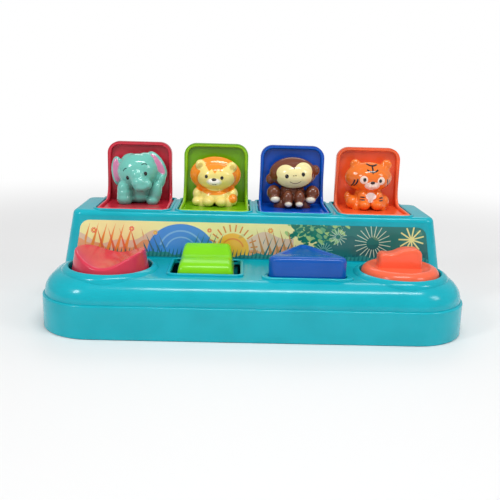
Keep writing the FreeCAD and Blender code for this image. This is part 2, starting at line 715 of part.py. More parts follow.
def figure(label, x, pebbles):
    """A moulded animal that stands on its hutch floor with its back to the panel.

    It is a heap of pebbles, trimmed by the panel, its rim and the floor. Each gives its middle (right of the
    figure's own middle line, out from the panel, up from the floor), its radius and half its depth. The figure
    is made on the middle line of the toy and then placed at its station.
    """
    heap = [pebble(f"{label}_pebble{number}", f"{right} * figure_scale", f"{PANEL_FRONT} - {out} * figure_scale",
                   f"floor_top + {up} * figure_scale", radius, deep)
            for number, (right, out, up, radius, deep) in enumerate(pebbles)]
    side_wall = "(panel_wide / 2 - rim_wide - float_gap)"
    stall = box(f"{label}_stall", (f"-{side_wall}", side_wall),
                (f"{PANEL_FRONT} - figure_deep * figure_scale", f"{PANEL_FRONT} - float_gap"),
                ("floor_top", "panel_top - rim_wide - float_gap"))
    pilots = [rod(f"{label}_pilot{side + 1}", "clamp_screw",
                  (f"{side} * figure_screw_x", "figure_screw_y", "floor_top - 1"), "7") for side in (-1, 1)]
    body = common(f"{label}_body", [fuse(f"{label}_heap", heap), cut(f"{label}_room", stall, pilots)])
    piece(place(body, x), label)


ELEPHANT = [(0, 12, 13, 16, 10.5), (-1.5, 16, 28, 16, 13), (-17, 12, 28, 10, 5), (16.5, 12, 31, 10.5, 5.5),
            (-12.5, 21, 7, 8.2, 8.5), (12.5, 21, 7, 8.2, 8.5), (4, 28, 19, 6, 7), (1.5, 31, 12, 5.2, 4.6)]
LION = [(-5, 13, 29, 18, 10), (5, 13, 29, 18, 10), (0, 18, 27, 15.9, 12.5), (-14, 16, 38, 4.5, 4),
        (14.5, 16, 36, 4.5, 4), (0, 13, 10, 14, 10.5), (-12, 22, 5.5, 7, 8), (4, 24, 5, 6.9, 8), (16, 18, 6, 6.7, 7)]
MONKEY = [(0, 14, 30, 17.6, 11.5), (0, 19, 28, 14.6, 12), (-20.5, 12, 25, 5.5, 5), (20.5, 12, 33, 5.5, 5),
          (0, 13, 10, 12.5, 10.5), (-14.5, 21.5, 9, 8.4, 8.6), (14.8, 21.5, 9, 8.3, 8.6), (-5.2, 25, 6, 5.7, 7),
          (5.2, 25, 6, 5.7, 7)]
TIGER = [(0, 15, 30, 17.7, 12.5), (-15.5, 14, 42, 5.2, 4.5), (13.5, 14.3, 42, 5.1, 4.6), (0, 13.5, 12, 12.9, 10.3),
         (-6, 23, 5.7, 6.6, 8), (7, 22.6, 5.5, 6.5, 7.9), (-15, 16.2, 5.2, 6.6, 8), (13.2, 16.6, 6, 6.3, 7)]


# ---------------------------------------------------------------- latches
def skew_bar(name, x_near, x_far, ys, half, zs):
    """A flat bar that runs from one x to another between two y values."""
    bar = doc.addObject("Part::Wedge", name)
    bar.Xmin, bar.X2min, bar.Xmax, bar.X2max = -900, -900, 900, 900
    bind(bar, Xmin=f"{x_near} - ({half})", Xmax=f"{x_near} + ({half})", X2min=f"{x_far} - ({half})",
         X2max=f"{x_far} + ({half})")
    bind(bar, Ymin="0", Ymax=f"{ys[1]} - ({ys[0]})", Zmin="0", Zmax=f"{zs[1]} - ({zs[0]})", Z2min="0",
         Z2max=f"{zs[1]} - ({zs[0]})")
    return place(bar, 0, ys[0], zs[0])


def latch(colour, x, control_x, fork_y, slot_half):
    """A flat lever on a post: fork under the control in front, nose behind the closed floor at the rear."""
    level = ("latch_low", "latch_high")
    rear = f"({AXIS_Y} + hook_throat - nose_gap)"
    nose_front = f"({AXIS_Y} + {AXIS_Z} - {FLOOR_UNDER} + nose_lead)"
    nose_top = f"({AXIS_Z} - {AXIS_Y} + floor_front + hook_long - 4 - nose_gap)"
    parts = [rod(f"{colour}_hub", "latch_hub", (x, "latch_pivot", "latch_low"), "latch_high - latch_low"),
             box(f"{colour}_arm", (f"{x} - latch_wide / 2", f"{x} + latch_wide / 2"),
                 ("latch_pivot", rear), level),
             box(f"{colour}_nose", (f"{x} - hook_wide / 2", f"{x} + hook_wide / 2"), (nose_front, rear),
                 ("latch_low", nose_top)),
             box(f"{colour}_tongue", (f"{x} - centring_half", f"{x} + centring_half"),
                 ("latch_pivot + 9", "latch_pivot + 12"), ("wall + 2 * float_gap", "latch_high")),
             skew_bar(f"{colour}_reach", control_x, x, (f"{fork_y} + 5", "latch_pivot"),
                      "latch_wide / 2 - 1.4", level)]
    for side in (-1, 1):
        inner = f"({control_x} + {side} * ({slot_half} + fork_prong / 2))"
        parts.append(box(f"{colour}_prong{side + 1}",
                         (f"{inner} - fork_prong / 2", f"{inner} + fork_prong / 2"),
                         (f"{fork_y} - 4.5", f"{fork_y} + 8"), level))
    parts.append(box(f"{colour}_yoke", (f"{control_x} - {slot_half} - fork_prong",
                                        f"{control_x} + {slot_half} + fork_prong"),
                     (f"{fork_y} + 4.5", f"{fork_y} + 8"), level))
    bore = rod(f"{colour}_latch_bore", "latch_pin + run_gap", (x, "latch_pivot", "latch_low - 1"), "9")
    piece(cut(f"{colour}_latch_body", fuse(f"{colour}_latch_solid", parts), [bore]), f"{colour}_latch")


def latch_springs():
    """Centring springs round the latch posts. Their legs straddle a tongue on the latch and a block on the case."""
    springs = []
    wire, radius = size("latch_wire"), size("latch_pin") + 2 + 0.3 + size("latch_wire") / 2
    for number, colour in enumerate(STATIONS):
        coil = wire_solid(f"{colour}_centring_wire", coil_path(wire * 1.3, 4.5, radius, 17, 17), wire / 2)
        coil.Placement = FreeCAD.Placement(Vector((number - 1.5) * size("pitch"), size("latch_pivot"),
                                                  size("wall") + 1.2),
                                           Rotation(Vector(0, 0, 1), 180))
        piece(coil, f"{colour}_latch_spring")


def latch_screws():
    screws = [screw(f"{colour}_latch_screw", x, "latch_pivot", "latch_high + float_gap", "7", "clamp_screw",
                    "latch_pin + 2", up=False) for colour, x in STATIONS.items()]
    piece(group("latch_screws_group", screws), "latch_screws")


# ---------------------------------------------------------------- rocker
def rocker():
    x, y = "-rocker_x", "-round_y"
    outer = rounded_disc("rocker_outer", "rocker_radius", (x, y, "skirt_low"), "rocker_top - skirt_low",
                         (top, "rocker_edge"))
    inner = rounded_disc("rocker_inner", "rocker_radius - shell_wall", (x, y, "skirt_low - 1"),
                         "rocker_top - shell_wall - skirt_low + 1", (top, "rocker_edge - shell_wall"))
    saddle = [rod(f"rocker_saddle{number}", f"saddle_radius + {grow}",
                  (x, f"{y} - rocker_radius - 1", "rocker_top - saddle_depth + saddle_radius"),
                  "2 * rocker_radius + 2", "Y") for number, grow in enumerate(("0", "shell_wall"))]
    shell = cut("rocker_shell", cut("rocker_saddled", outer, [saddle[0]]),
                [cut("rocker_room", inner, [saddle[1]])])
    roof = "rocker_top - saddle_depth - shell_wall / 2"
    parts = [box("rocker_foot", (f"{x} - foot_half", f"{x} + foot_half"), ("-control_y - foot_deep",
                 "-control_y + foot_deep"), ("latch_low - 0.5", roof))]
    parts.append(box("rocker_hub", (f"{x} - 4", f"{x} + 4"),
                     ("-control_y - foot_deep", "-control_y + foot_deep"),
                     ("rocker_pivot - 3.5", roof)))
    for side in (-1, 1):
        lug = f"({y} + {side} * lug_y)"
        parts.append(box(f"rocker_lug{side + 1}", (f"{x} - 4", f"{x} + 4"), (f"{lug} - 2", f"{lug} + 2"),
                         ("rocker_pivot - 3.5", roof)))
        parts.append(rod(f"rocker_boss{side + 1}", "cup_radius - 1", (f"{x} + {side} * rocker_spring_x", y,
                         "spring_seat"), "rocker_top - saddle_depth + 4.5 - spring_seat"))
    bore = rod("rocker_bore", "rod_bore + run_gap", (x, f"{y} - axle_half", "rocker_pivot"),
               "2 * axle_half", "Y")
    crown = rod("rocker_crown", "saddle_radius", (x, f"{y} - rocker_radius - 1",
                "rocker_top - saddle_depth + saddle_radius"), "2 * rocker_radius + 2", "Y")
    piece(cut("rocker_body", fuse("rocker_solid", [shell] + parts), [bore, crown]), "rocker_button")
    piece(rod("rocker_axle_body", "rod_bore", (x, f"{y} - axle_half", "rocker_pivot"), "2 * axle_half",
              "Y"),
          "rocker_axle")
    for side, name in ((-1, "left"), (1, "right")):
        tall = size("spring_seat") - size("cup_high") - size("control_wire")
        spring = wire_solid(f"rocker_spring_{name}_wire", coil_path((tall - 0.1) / 9, 9, 3.9),
                            size("control_wire") / 2)
        spring.Placement.Base = Vector(side * size("rocker_spring_x") - size("rocker_x"), -size("round_y"),
                                       size("cup_high") + size("control_wire") / 2 + 0.05)
        piece(spring, f"rocker_spring_{name}")


# ---------------------------------------------------------------- slide
def slide():
    x, y = "-slide_x", "-slide_y"
    seat = f"({SHELF_UNDER} - float_gap)"
    front, back = f"({y} - slide_deep / 2)", f"({y} + slide_deep / 2)"
    wide = (f"{x} - slide_half", "2 * slide_half")
    ridge_y, bulge_y = f"({back} - ridge_radius - 1)", f"({front} + bulge_radius)"
    form = [rod("slide_ridge", "ridge_radius", (wide[0], ridge_y, "ridge_top - ridge_radius"), wide[1],
                "X"),
            rod("slide_bulge", "bulge_radius", (wide[0], bulge_y, "bulge_top - bulge_radius"), wide[1],
                "X"),
            box("slide_bed", (f"{x} - slide_half", f"{x} + slide_half"), (front, back),
                (seat, "bulge_top - bulge_radius")),
            box("slide_saddle", (f"{x} - slide_half", f"{x} + slide_half"), (bulge_y, ridge_y),
                (seat, "bulge_top - 1.5"))]
    taper = tapered_block("slide_taper", "slide_half", "slide_top_half", (front, back), (front, back),
                          (seat, "ridge_top + 1"), (upright_any, "3"))
    place(taper, x, 0, 0)
    hollow = box("slide_hollow", (f"{x} - slide_top_half + shell_wall",
                                  f"{x} + slide_top_half - shell_wall"),
                 (f"{front} + 5", f"{back} - 4"), (f"{seat} - 1", "bulge_top - 1.5 - shell_wall"))
    studs = [rod(f"slide_stud{side + 1}", "3.4", (f"{x} + {side} * 9", y, f"{seat} - 2"),
                 "20") for side in (-1, 1)]
    block = cut("slide_shell", common("slide_form", [fuse("slide_lumps", form), taper]),
                [cut("slide_room", hollow, studs)])
    pilots = [rod(f"slide_pilot{side + 1}", "clamp_screw", (f"{x} + {side} * 9", y, f"{seat} - 1"), "8")
              for side in (-1, 1)]
    piece(cut("slide_block_body", block, pilots), "slide_block")

    plate = box("carriage_plate", (f"{x} - rail_x - 2", f"{x} + rail_x + 2"),
                (f"{front} - 5.5", f"{back} + 5.5"),
                (f"{seat} - carriage_thick", seat))
    foot = box("carriage_foot", (f"{x} - foot_half", f"{x} + foot_half"),
               ("-control_y - foot_deep", "-control_y + foot_deep"), ("latch_low - 0.5", f"{seat} - 1"))
    holes = [rod(f"carriage_hole{side + 1}", "clamp_screw", (f"{x} + {side} * 9", y, f"{seat} - 9"), "20")
             for side in (-1, 1)]
    piece(cut("slide_carriage_body", fuse("carriage_solid", [plate, foot]), holes), "slide_carriage")
    screws = [screw(f"slide_screw{side + 1}", f"{x} + {side} * 9", y, f"{seat} - carriage_thick",
                    "carriage_thick + 6", "clamp_screw", "head_radius") for side in (-1, 1)]
    piece(group("slide_screws_group", screws), "slide_screws")
    for side, name in ((-1, "left"), (1, "right")):
        room = size("slide_stop_x") - size("foot_half") - size("control_wire") - 0.2
        spring = wire_solid(f"slide_spring_{name}_wire", coil_path(room / 8, 8, 3.2),
                            size("control_wire") / 2)
        near = size("foot_half") + size("control_wire") / 2 + 0.1
        spring.Placement = FreeCAD.Placement(Vector(side * (near + room) - size("slide_x"),
                                                    -size("control_y"), size("slide_spring_z")),
                                             Rotation(Vector(0, 1, 0), -90 * side))
        piece(spring, f"slide_spring_{name}")


# ---------------------------------------------------------------- push button
def push_button():
    low = f"({SHELF_UNDER} - float_gap - shell_wall)"
    outer = triangle("button_outer", "0", (low, "button_top"))
    flange = triangle("button_flange_plate", "button_flange", (low, f"{SHELF_UNDER} - float_gap"))
    room = triangle("button_room", "-shell_wall", (f"{low} - 1", "button_top - button_dish - shell_wall"))
    dish = triangle("button_dish_cut", "-dish_margin", ("button_top - button_dish", "button_top + 1"), "2")
    shell = cut("button_shell", fuse("button_outside", [outer, flange]), [room, dish])
    roof = "button_top - button_dish - shell_wall / 2"
    parts, bores = [], []
    for side in (-1, 1):
        x = f"(button_x + {side} * guide_spread)"
        parts.append(rod(f"button_tube{side + 1}", "guide_radius + 2.2", (x, "-guide_y", "tube_low"),
                         f"{roof} - tube_low"))
        bores.append(rod(f"button_bore{side + 1}", "guide_radius + run_gap",
                         (x, "-guide_y", "tube_low - 1"),
                         f"{roof} - shell_wall - tube_low"))
    blade = tapered_block("button_blade", "foot_half", "foot_half", ("-foot_deep", "foot_deep"),
                          ("-foot_deep", "foot_deep"), ("blade_low", "blade_high"))
    # the blade leans, so that pressing it pushes the latch fork sideways
    near, far = (f"({level} - {LATCH_MID}) * button_lean" for level in ("blade_low", "blade_high"))
    bind(blade.Tip, Xmin=f"{near} - foot_half", Xmax=f"{near} + foot_half", X2min=f"{far} - foot_half",
         X2max=f"{far} + foot_half")
    place(blade, "button_x", "-control_y", 0)
    shift = f"button_x + {far}"
    parts += [blade, box("button_stem", (f"{shift} - foot_half", f"{shift} + foot_half"),
                         ("-control_y - foot_deep", "-control_y + foot_deep"), ("blade_high", roof))]
    piece(cut("push_button_body", fuse("button_solid", [shell] + parts), bores), "push_button")
    for side, name in ((-1, "left"), (1, "right")):
        wire = size("control_wire")
        tall = size("tube_low") - size("wall") - wire - 0.1
        spring = wire_solid(f"button_spring_{name}_wire",
                            coil_path(tall / 7, 7, size("guide_radius") + 1.2), wire / 2)
        spring.Placement.Base = Vector(size("button_x") + side * size("guide_spread"), -size("guide_y"),
                                       size("wall") + wire / 2 + 0.05)
        piece(spring, f"button_spring_{name}")


# ---------------------------------------------------------------- twist knob
def twist_knob():
    x, y = "knob_x", "-round_y"
    disc = rounded_disc("knob_disc", "knob_radius", (x, y, "dish_floor + float_gap"),
                        "knob_rim - dish_floor - float_gap",
                        (top, "3.2"))
    grip = rounded_box("knob_grip", (f"{x} - grip_half", f"{x} + grip_half"),
                       (f"{y} - grip_thick / 2", f"{y} + grip_thick / 2"), ("knob_rim - 2", "grip_low - 1.5"),
                       (upright, "grip_thick / 2 - 0.5"))
    near, far = f"{y} - grip_thick / 2 + 1", "grip_thick - 2"
    lobes = [rod("knob_low_lobe", "7.5", (f"{x} - grip_half + 8", near, "grip_low - 7.5"), far, "Y"),
             rod("knob_high_lobe", "9.5", (f"{x} + grip_half - 10", near, "grip_high - 9.5"), far, "Y")]
    shaft = rod("knob_shaft", "shaft_radius", (x, y, "crank_high"), "dish_floor + 2 - crank_high")
    pilot = rod("knob_pilot", "clamp_screw", (x, y, "crank_high - 1"), "10")
    piece(cut("twist_knob_body", fuse("knob_solid", [disc, grip, shaft] + lobes), [pilot]), "twist_knob")
    crank = fuse("crank_solid", [rod("crank_disc", "crank_radius", (x, y, "crank_low"),
                                     "crank_high - crank_low"),
                                 rod("crank_pin", "foot_half", (x, f"{y} + crank_throw", "latch_low - 0.5"),
                                     "crank_low - latch_low + 1")])
    hole = rod("crank_hole", "clamp_screw", (x, y, "crank_low - 1"), "9")
    piece(cut("knob_crank_body", crank, [hole]), "knob_crank")
    piece(screw("knob_screw_body", x, y, "crank_low", "11", "clamp_screw",
                "crank_throw - foot_half - 0.1"), "knob_screw")
    wire = size("control_wire")
    room = size("dish_floor") - size("wall") - size("crank_high") - wire - 0.4
    spring = wire_solid("knob_spring_wire", coil_path(room / 7, 7, size("shaft_radius") + 1.2, 7, 7),
                        wire / 2)
    spring.Placement.Base = Vector(size("knob_x"), -size("round_y"), size("crank_high") + wire / 2 + 0.2)
    piece(spring, "knob_spring")


# ---------------------------------------------------------------- picture label
def face_label():
    body = rounded_box("label_sheet", ("-label_half", "label_half"), ("-label_thick", "0"),
                       ("label_low - part_line", "label_high - part_line"))
    doc.recompute()
    rounded(body, [(depthwise, "label_corner")])
    body.Placement.Rotation = Rotation(Vector(-1, 0, 0), 1)
    body.setExpression(".Placement.Rotation.Angle",
                       cells("atan((face_top - face_foot) / (deck_height - part_line))"))
    place(body, 0, "face_foot", "part_line")
    piece(body, "face_label")


# ---------------------------------------------------------------- build, check and write
upper_case()
lower_case()
hinge_line()
face_label()
for order, (colour, x) in enumerate(STATIONS.items()):
    hutch(colour, x)
    hutch_spring(colour, order)
figure("elephant", STATIONS["red"], ELEPHANT)
figure("lion", STATIONS["green"], LION)
figure("monkey", STATIONS["blue"], MONKEY)
figure("tiger", STATIONS["orange"], TIGER)
plain_slot = "(foot_half + fork_gap)"
latch("red", STATIONS["red"], "-rocker_x", "(-control_y)", plain_slot)
latch("green", STATIONS["green"], "-slide_x", "(-control_y)", plain_slot)
latch("blue", STATIONS["blue"], "button_x", "(-control_y)",
      "(foot_half + fork_gap + button_lean * (latch_high - latch_low) / 2)")
latch("orange", STATIONS["orange"], "knob_x", "(crank_throw - round_y)", plain_slot)
latch_springs()
latch_screws()
rocker()
slide()
push_button()
twist_knob()
doc.recompute()

for thing in doc.Objects:
    if {"Invalid", "Error"} & set(thing.State):
        raise SystemExit(f"{thing.Name} failed: {thing.State}")
os.makedirs("parts", exist_ok=True)
for thing in pieces:
    shape = thing.Shape
    if shape.isNull() or not shape.isValid():
        raise SystemExit(f"{thing.Label} has no valid shape")
    shape.exportStep(f"parts/{thing.Label}.step")
    print(f"{thing.Label:24s} solids {len(shape.Solids):2d}  volume {shape.Volume:10.1f}")
print(len(pieces), "pieces")
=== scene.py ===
"""Pop up animal toy: four spring-loaded hutches behind a rocker, a slide, a push button and a twist knob.

Metres. X runs along the row of hutches, the controls face -Y and Z = 0 is the face the toy rests on.
"""
import json
import math

import bmesh
import bpy
from mathutils import Matrix, Vector


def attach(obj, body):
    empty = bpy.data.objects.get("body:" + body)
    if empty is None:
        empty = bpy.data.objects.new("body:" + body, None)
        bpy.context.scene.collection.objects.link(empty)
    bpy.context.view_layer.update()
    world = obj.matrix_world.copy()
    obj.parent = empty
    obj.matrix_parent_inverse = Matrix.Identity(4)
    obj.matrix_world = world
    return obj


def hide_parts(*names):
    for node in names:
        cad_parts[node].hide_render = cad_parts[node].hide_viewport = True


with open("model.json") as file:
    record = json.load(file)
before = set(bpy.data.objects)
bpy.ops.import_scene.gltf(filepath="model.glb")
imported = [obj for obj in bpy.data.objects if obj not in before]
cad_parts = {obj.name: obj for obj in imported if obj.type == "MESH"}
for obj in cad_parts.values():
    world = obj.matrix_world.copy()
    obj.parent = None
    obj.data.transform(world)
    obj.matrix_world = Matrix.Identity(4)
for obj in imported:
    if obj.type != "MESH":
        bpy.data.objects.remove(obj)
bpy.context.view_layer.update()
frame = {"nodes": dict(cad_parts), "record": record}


# ---- studio -------------------------------------------------------------------------------------------------
# A pale table under an overhead strip light with weaker side panels, as for a shop picture. The camera stands in
# front, a little above the toy.
def studio_lamp(name, place, aim, size, watts):
    lamp = bpy.data.lights.new(name, "AREA")
    lamp.shape = "RECTANGLE"
    lamp.size, lamp.size_y = size
    lamp.energy = watts
    holder = bpy.data.objects.new(name, lamp)
    bpy.context.scene.collection.objects.link(holder)
    holder.location = place
    holder.rotation_euler = (Vector(aim) - Vector(place)).to_track_quat("-Z", "Y").to_euler()


studio_lamp("strip_over", (0.12, -0.42, 1.15), (0, 0, 0.05), (0.8, 0.16), 6.6)
studio_lamp("panel_left", (-0.85, -0.75, 0.8), (0, 0, 0.06), (0.22, 0.3), 3.6)
studio_lamp("panel_right", (0.95, -0.5, 0.75), (0, 0, 0.06), (0.25, 0.35), 2.2)
studio_lamp("panel_rear", (0.1, 1.0, 0.9), (0, 0, 0.08), (1.0, 0.4), 2.4)

view_yaw, view_pitch, view_roll = math.radians(1.26), math.radians(13.54), math.radians(1.62)
ahead = Vector((math.sin(view_yaw) * math.cos(view_pitch), math.cos(view_yaw) * math.cos(view_pitch),
                -math.sin(view_pitch)))
level = Vector((math.cos(view_yaw), -math.sin(view_yaw), 0))
upward = level.cross(ahead)
across = level * math.cos(view_roll) + upward * math.sin(view_roll)
upward = upward * math.cos(view_roll) - level * math.sin(view_roll)
camera_data = bpy.data.cameras.new("front_view")
camera_data.sensor_width = 36
camera_data.lens = 50.05
camera = bpy.data.objects.new("front_view", camera_data)
bpy.context.scene.collection.objects.link(camera)
camera.matrix_world = Matrix.Translation((-0.01581, -0.57712, 0.19328)) @ Matrix(
    (across, upward, -ahead)).transposed().to_4x4()
bpy.context.scene.camera = camera
bpy.context.scene.view_settings.view_transform = "Standard"


class Flow:
    """The output of a shader node, which can be used in sums."""

    def __init__(self, finish, socket):
        self.finish, self.socket = finish, socket

    def sum(self, operation, *others):
        return self.finish.node("ShaderNodeMath", {"operation": operation}, dict(enumerate((self, *others))))

    def __add__(self, other):
        return self.sum("ADD", other)

    def __sub__(self, other):
        return self.sum("SUBTRACT", other)

    def __rsub__(self, other):
        return self.finish.node("ShaderNodeMath", {"operation": "SUBTRACT"}, {0: other, 1: self})

    def __mul__(self, other):
        return self.sum("MULTIPLY", other)

    def __truediv__(self, other):
        return self.sum("DIVIDE", other)

    __radd__, __rmul__ = __add__, __mul__


class Finish:
    """A material under construction: one method adds any node, sets it up and wires it."""

    def __init__(self, name, colour, roughness, **sockets):
        self.material = bpy.data.materials.new(name)
        self.material.use_nodes = True
        self.tree = self.material.node_tree
        self.shader = self.tree.nodes["Principled BSDF"]
        self.shader.inputs["Base Color"].default_value = (*colour, 1)
        self.shader.inputs["Roughness"].default_value = roughness
        for socket, value in sockets.items():
            self.shader.inputs[socket.replace("_", " ")].default_value = value
        self.place = self.node("ShaderNodeTexCoord", {}, {}, "Object")

    def node(self, kind, settings, inputs, output=0):
        made = self.tree.nodes.new(kind)
        for name, value in settings.items():
            if name == "stops":
                ramp = made.color_ramp
                while len(ramp.elements) < len(value):
                    ramp.elements.new(1)
                for element, (position, shade) in zip(ramp.elements, value):
                    element.position, element.color = position, shade
            else:
                setattr(made, name, value)
        for name, value in inputs.items():
            if isinstance(value, Flow):
                self.tree.links.new(value.socket, made.inputs[name])
            else:
                made.inputs[name].default_value = value
        return Flow(self, made.outputs[output])

    def feed(self, socket, flow):
        self.tree.links.new(flow.socket, self.shader.inputs[socket])

    def noise(self, scale, detail=2.0, place=None):
        return self.node("ShaderNodeTexNoise", {}, {"Vector": place or self.place, "Scale": scale, "Detail": detail})

    def mix(self, mask, first, second):
        """first where the mask is 0, second where it is 1. Each is a colour or the flow of one."""
        tint = {n: value if isinstance(value, Flow) else (*value, 1) for n, value in ((6, first), (7, second))}
        return self.node("ShaderNodeMix", {"data_type": "RGBA"}, {0: mask, **tint}, 2)

    def edge(self, flow, low, high):
        """0 below low, 1 above high, smooth between."""
        return self.node("ShaderNodeMapRange", {"interpolation_type": "SMOOTHSTEP"},
                         {"Value": flow, "From Min": low, "From Max": high})

    def bump(self, height, distance, strength=1.0):
        self.feed("Normal", self.node("ShaderNodeBump", {}, {"Height": height, "Distance": distance,
                                                               "Strength": strength}))

    def axes(self, x=0.0, y=0.0, z=0.0):
        """How far a point lies from a spot along X, Y and Z, in millimetres. The spot is in millimetres too."""
        split = self.tree.nodes.new("ShaderNodeSeparateXYZ")
        self.tree.links.new(self.place.socket, split.inputs[0])
        return [Flow(self, output) * 1000 - start for output, start in zip(split.outputs, (x, y, z))]

    def blot(self, right, up, at, size, turn=0.0, soft=0.3):
        """1 inside an ellipse at a spot, 0 outside, in millimetres; turn is anticlockwise."""
        cos, sin = math.cos(math.radians(turn)), math.sin(math.radians(turn))
        right, up = right - at[0], up - at[1]
        reach = (right * cos + up * sin) / size[0]
        rise = (up * cos - right * sin) / size[1]
        far = (reach * reach + rise * rise).sum("POWER", 0.5)
        return self.edge(far, 1 + soft / min(size), 1 - soft / min(size))

    def arc(self, right, up, at, radius, wide, middle, spread, soft=0.2):
        """1 on an arc about a spot: middle is the way to its middle, anticlockwise from the right, in degrees."""
        right, up = right - at[0], up - at[1]
        far = (right * right + up * up).sum("POWER", 0.5)
        way = math.radians(middle)
        facing = (right * math.cos(way) + up * math.sin(way)) / far
        line = (far - radius).sum("ABSOLUTE")
        return (self.edge(line, wide / 2 + soft, wide / 2 - soft)
                * self.edge(facing, math.cos(math.radians(spread)) - 0.02, math.cos(math.radians(spread)) + 0.02))


table = Finish("pale_table", (0.86, 0.86, 0.86), 0.6)
bpy.ops.mesh.primitive_plane_add(size=12)
floor = bpy.context.object
floor.name = "table_top"
floor.data.materials.append(table.material)
# far from the toy the table runs into the white of the backdrop
right, back, _ = table.axes()
far_off = table.edge((right * right + back * back).sum("POWER", 0.5), 330, 900)
seen = table.node("ShaderNodeLightPath", {}, {}, "Is Camera Ray").sum(
    "MAXIMUM", table.node("ShaderNodeLightPath", {}, {}, "Is Glossy Ray"))
glow = table.node("ShaderNodeEmission", {}, {"Color": (1, 1, 1, 1), "Strength": 1.0})
covered = table.node("ShaderNodeMixShader", {}, {0: far_off * seen, 1: Flow(table, table.shader.outputs[0]), 2: glow})
table.tree.links.new(covered.socket, table.tree.nodes["Material Output"].inputs["Surface"])

world = bpy.data.worlds.new("pale_room")
bpy.context.scene.world = world
world.use_nodes = True
sky = world.node_tree.nodes["Background"]
ray = world.node_tree.nodes.new("ShaderNodeLightPath")
power = world.node_tree.nodes.new("ShaderNodeMapRange")
# white where the camera sees it, weaker where it lights the toy
power.inputs["To Min"].default_value = 0.46
power.inputs["To Max"].default_value = 1.0
world.node_tree.links.new(ray.outputs["Is Camera Ray"], power.inputs["Value"])
world.node_tree.links.new(power.outputs[0], sky.inputs["Strength"])
sky.inputs["Color"].default_value = (1, 1, 1, 1)


# ---- case ---------------------------------------------------------------------------------------------------
# Two teal mouldings in glossy ABS that meet in a step above the table: a dished base, and an upper shell with a
# rounded front shelf, a leaning picture face and a flat rear deck. Both are injection moulded, with soft edges.
MM = 0.001  # metres in a millimetre
DECK, SHELF = 85.0, 45.0
ROCKER_X, KNOB_X, ROUND_Y = -116.2, 119.0, -31.3
SLIDE_X, SLIDE_Y, BUTTON_X = -39.0, -27.5, 41.5
HUTCHES = {"red": -105.0, "green": -35.0, "blue": 35.0, "orange": 105.0}


def ink(red, green, blue):
    """A colour from its screen values, 0 to 255."""
    return tuple((value / 255 / 12.92) if value < 11 else ((value / 255 + 0.055) / 1.055) ** 2.4
                 for value in (red, green, blue))


def plastic(name, colour, roughness=0.2, grain=0.012, coat=0.15):
    """Glossy moulded plastic: faint cloudy colour, a little drag in the gloss and a barely rippled skin."""
    finish = Finish(name, colour, roughness, Coat_Weight=coat, Coat_Roughness=0.08, Specular_IOR_Level=0.3)
    cloud = finish.noise(38, 3)
    dark = tuple(value * 0.95 for value in colour)
    pale = tuple(min(value * 1.04 + 0.002, 1) for value in colour)
    finish.skin = finish.mix(finish.edge(cloud, 0.3, 0.7), dark, pale)
    finish.feed("Base Color", finish.skin)
    finish.feed("Roughness", finish.noise(210, 2) * 0.12 + (roughness - 0.06))
    finish.bump(finish.noise(460, 2), grain * MM)
    return finish


def soft_shaded(bm, sharp=32):
    """Smooth faces, with a crease where two faces meet at more than the given angle."""
    for face in bm.faces:
        face.smooth = True
    for edge in bm.edges:
        edge.smooth = len(edge.link_faces) == 2 and edge.calc_face_angle() < math.radians(sharp)


def moulding(bm, name, finish, body, stands_for=()):
    """Turn a bmesh into a piece of the toy that moves with a body."""
    mesh = bpy.data.meshes.new(name)
    bm.to_mesh(mesh)
    bm.free()
    piece = bpy.data.objects.new(name, mesh)
    bpy.context.scene.collection.objects.link(piece)
    piece.data.materials.append(finish.material)
    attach(piece, body)
    if stands_for:
        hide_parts(*stands_for)
    return piece


def joined_copy(node):
    """A copy of a CAD node's mesh with its loose triangles joined and its flat areas made single faces."""
    bm = bmesh.new()
    bm.from_mesh(frame["nodes"][node].data)
    bmesh.ops.remove_doubles(bm, verts=bm.verts, dist=1e-6)
    bmesh.ops.dissolve_limit(bm, angle_limit=math.radians(0.4), verts=bm.verts, edges=bm.edges)
    return bm


teal = plastic("teal_case_plastic", ink(0, 174, 190))
for node in ("upper_case", "lower_case"):
    bm = joined_copy(node)
    soft_shaded(bm)
    moulding(bm, node + "_shell", teal, "case", [node])


def rounded_face(bm, corners, rounding, steps=8):
    """A flat face through spots given in millimetres, with a rounding for each corner."""
    spots = [bm.verts.new(Vector(corner) * MM) for corner in corners]
    bm.faces.new(spots)
    for spot, radius in zip(spots, rounding):
        if radius:
            bmesh.ops.bevel(bm, geom=[spot], offset=radius * MM, offset_type="OFFSET", affect="VERTICES",
                            segments=steps, profile=0.5, material=-1)


def rectangle(x, ys, half):
    """The corners of a level rectangle, from its front left and on to its front right."""
    return [(x - half, ys[0]), (x + half, ys[0]), (x + half, ys[1]), (x - half, ys[1])]


def moved_copy(bm, offset):
    """Extrude all the faces by an offset in millimetres."""
    grown = bmesh.ops.extrude_face_region(bm, geom=bm.faces[:])
    bmesh.ops.translate(bm, verts=[part for part in grown["geom"] if isinstance(part, bmesh.types.BMVert)],
                        vec=[part * MM for part in offset])
    bmesh.ops.recalc_face_normals(bm, faces=bm.faces)


def raised_lip(name, corners, rounding, wide, low, high, ease):
    """A raised frame on the case. corners give its outer edge, which has a rounding for each corner."""
    bm = bmesh.new()
    rounded_face(bm, [(x, y, high) for x, y in corners], rounding)
    bmesh.ops.recalc_face_normals(bm, faces=bm.faces)
    inner = bm.faces[:]
    bmesh.ops.inset_region(bm, faces=inner, thickness=wide * MM, use_even_offset=True, use_boundary=True)
    bmesh.ops.delete(bm, geom=inner, context="FACES")
    moved_copy(bm, (0, 0, low - high))
    rims = [edge for edge in bm.edges if min(v.co.z for v in edge.verts) > (high - 0.01) * MM
            and edge.calc_face_angle(0) > math.radians(40)]
    bmesh.ops.bevel(bm, geom=rims, offset=ease * MM, affect="EDGES", segments=4, profile=0.5, material=-1)
    soft_shaded(bm)
    moulding(bm, name, teal, "case")


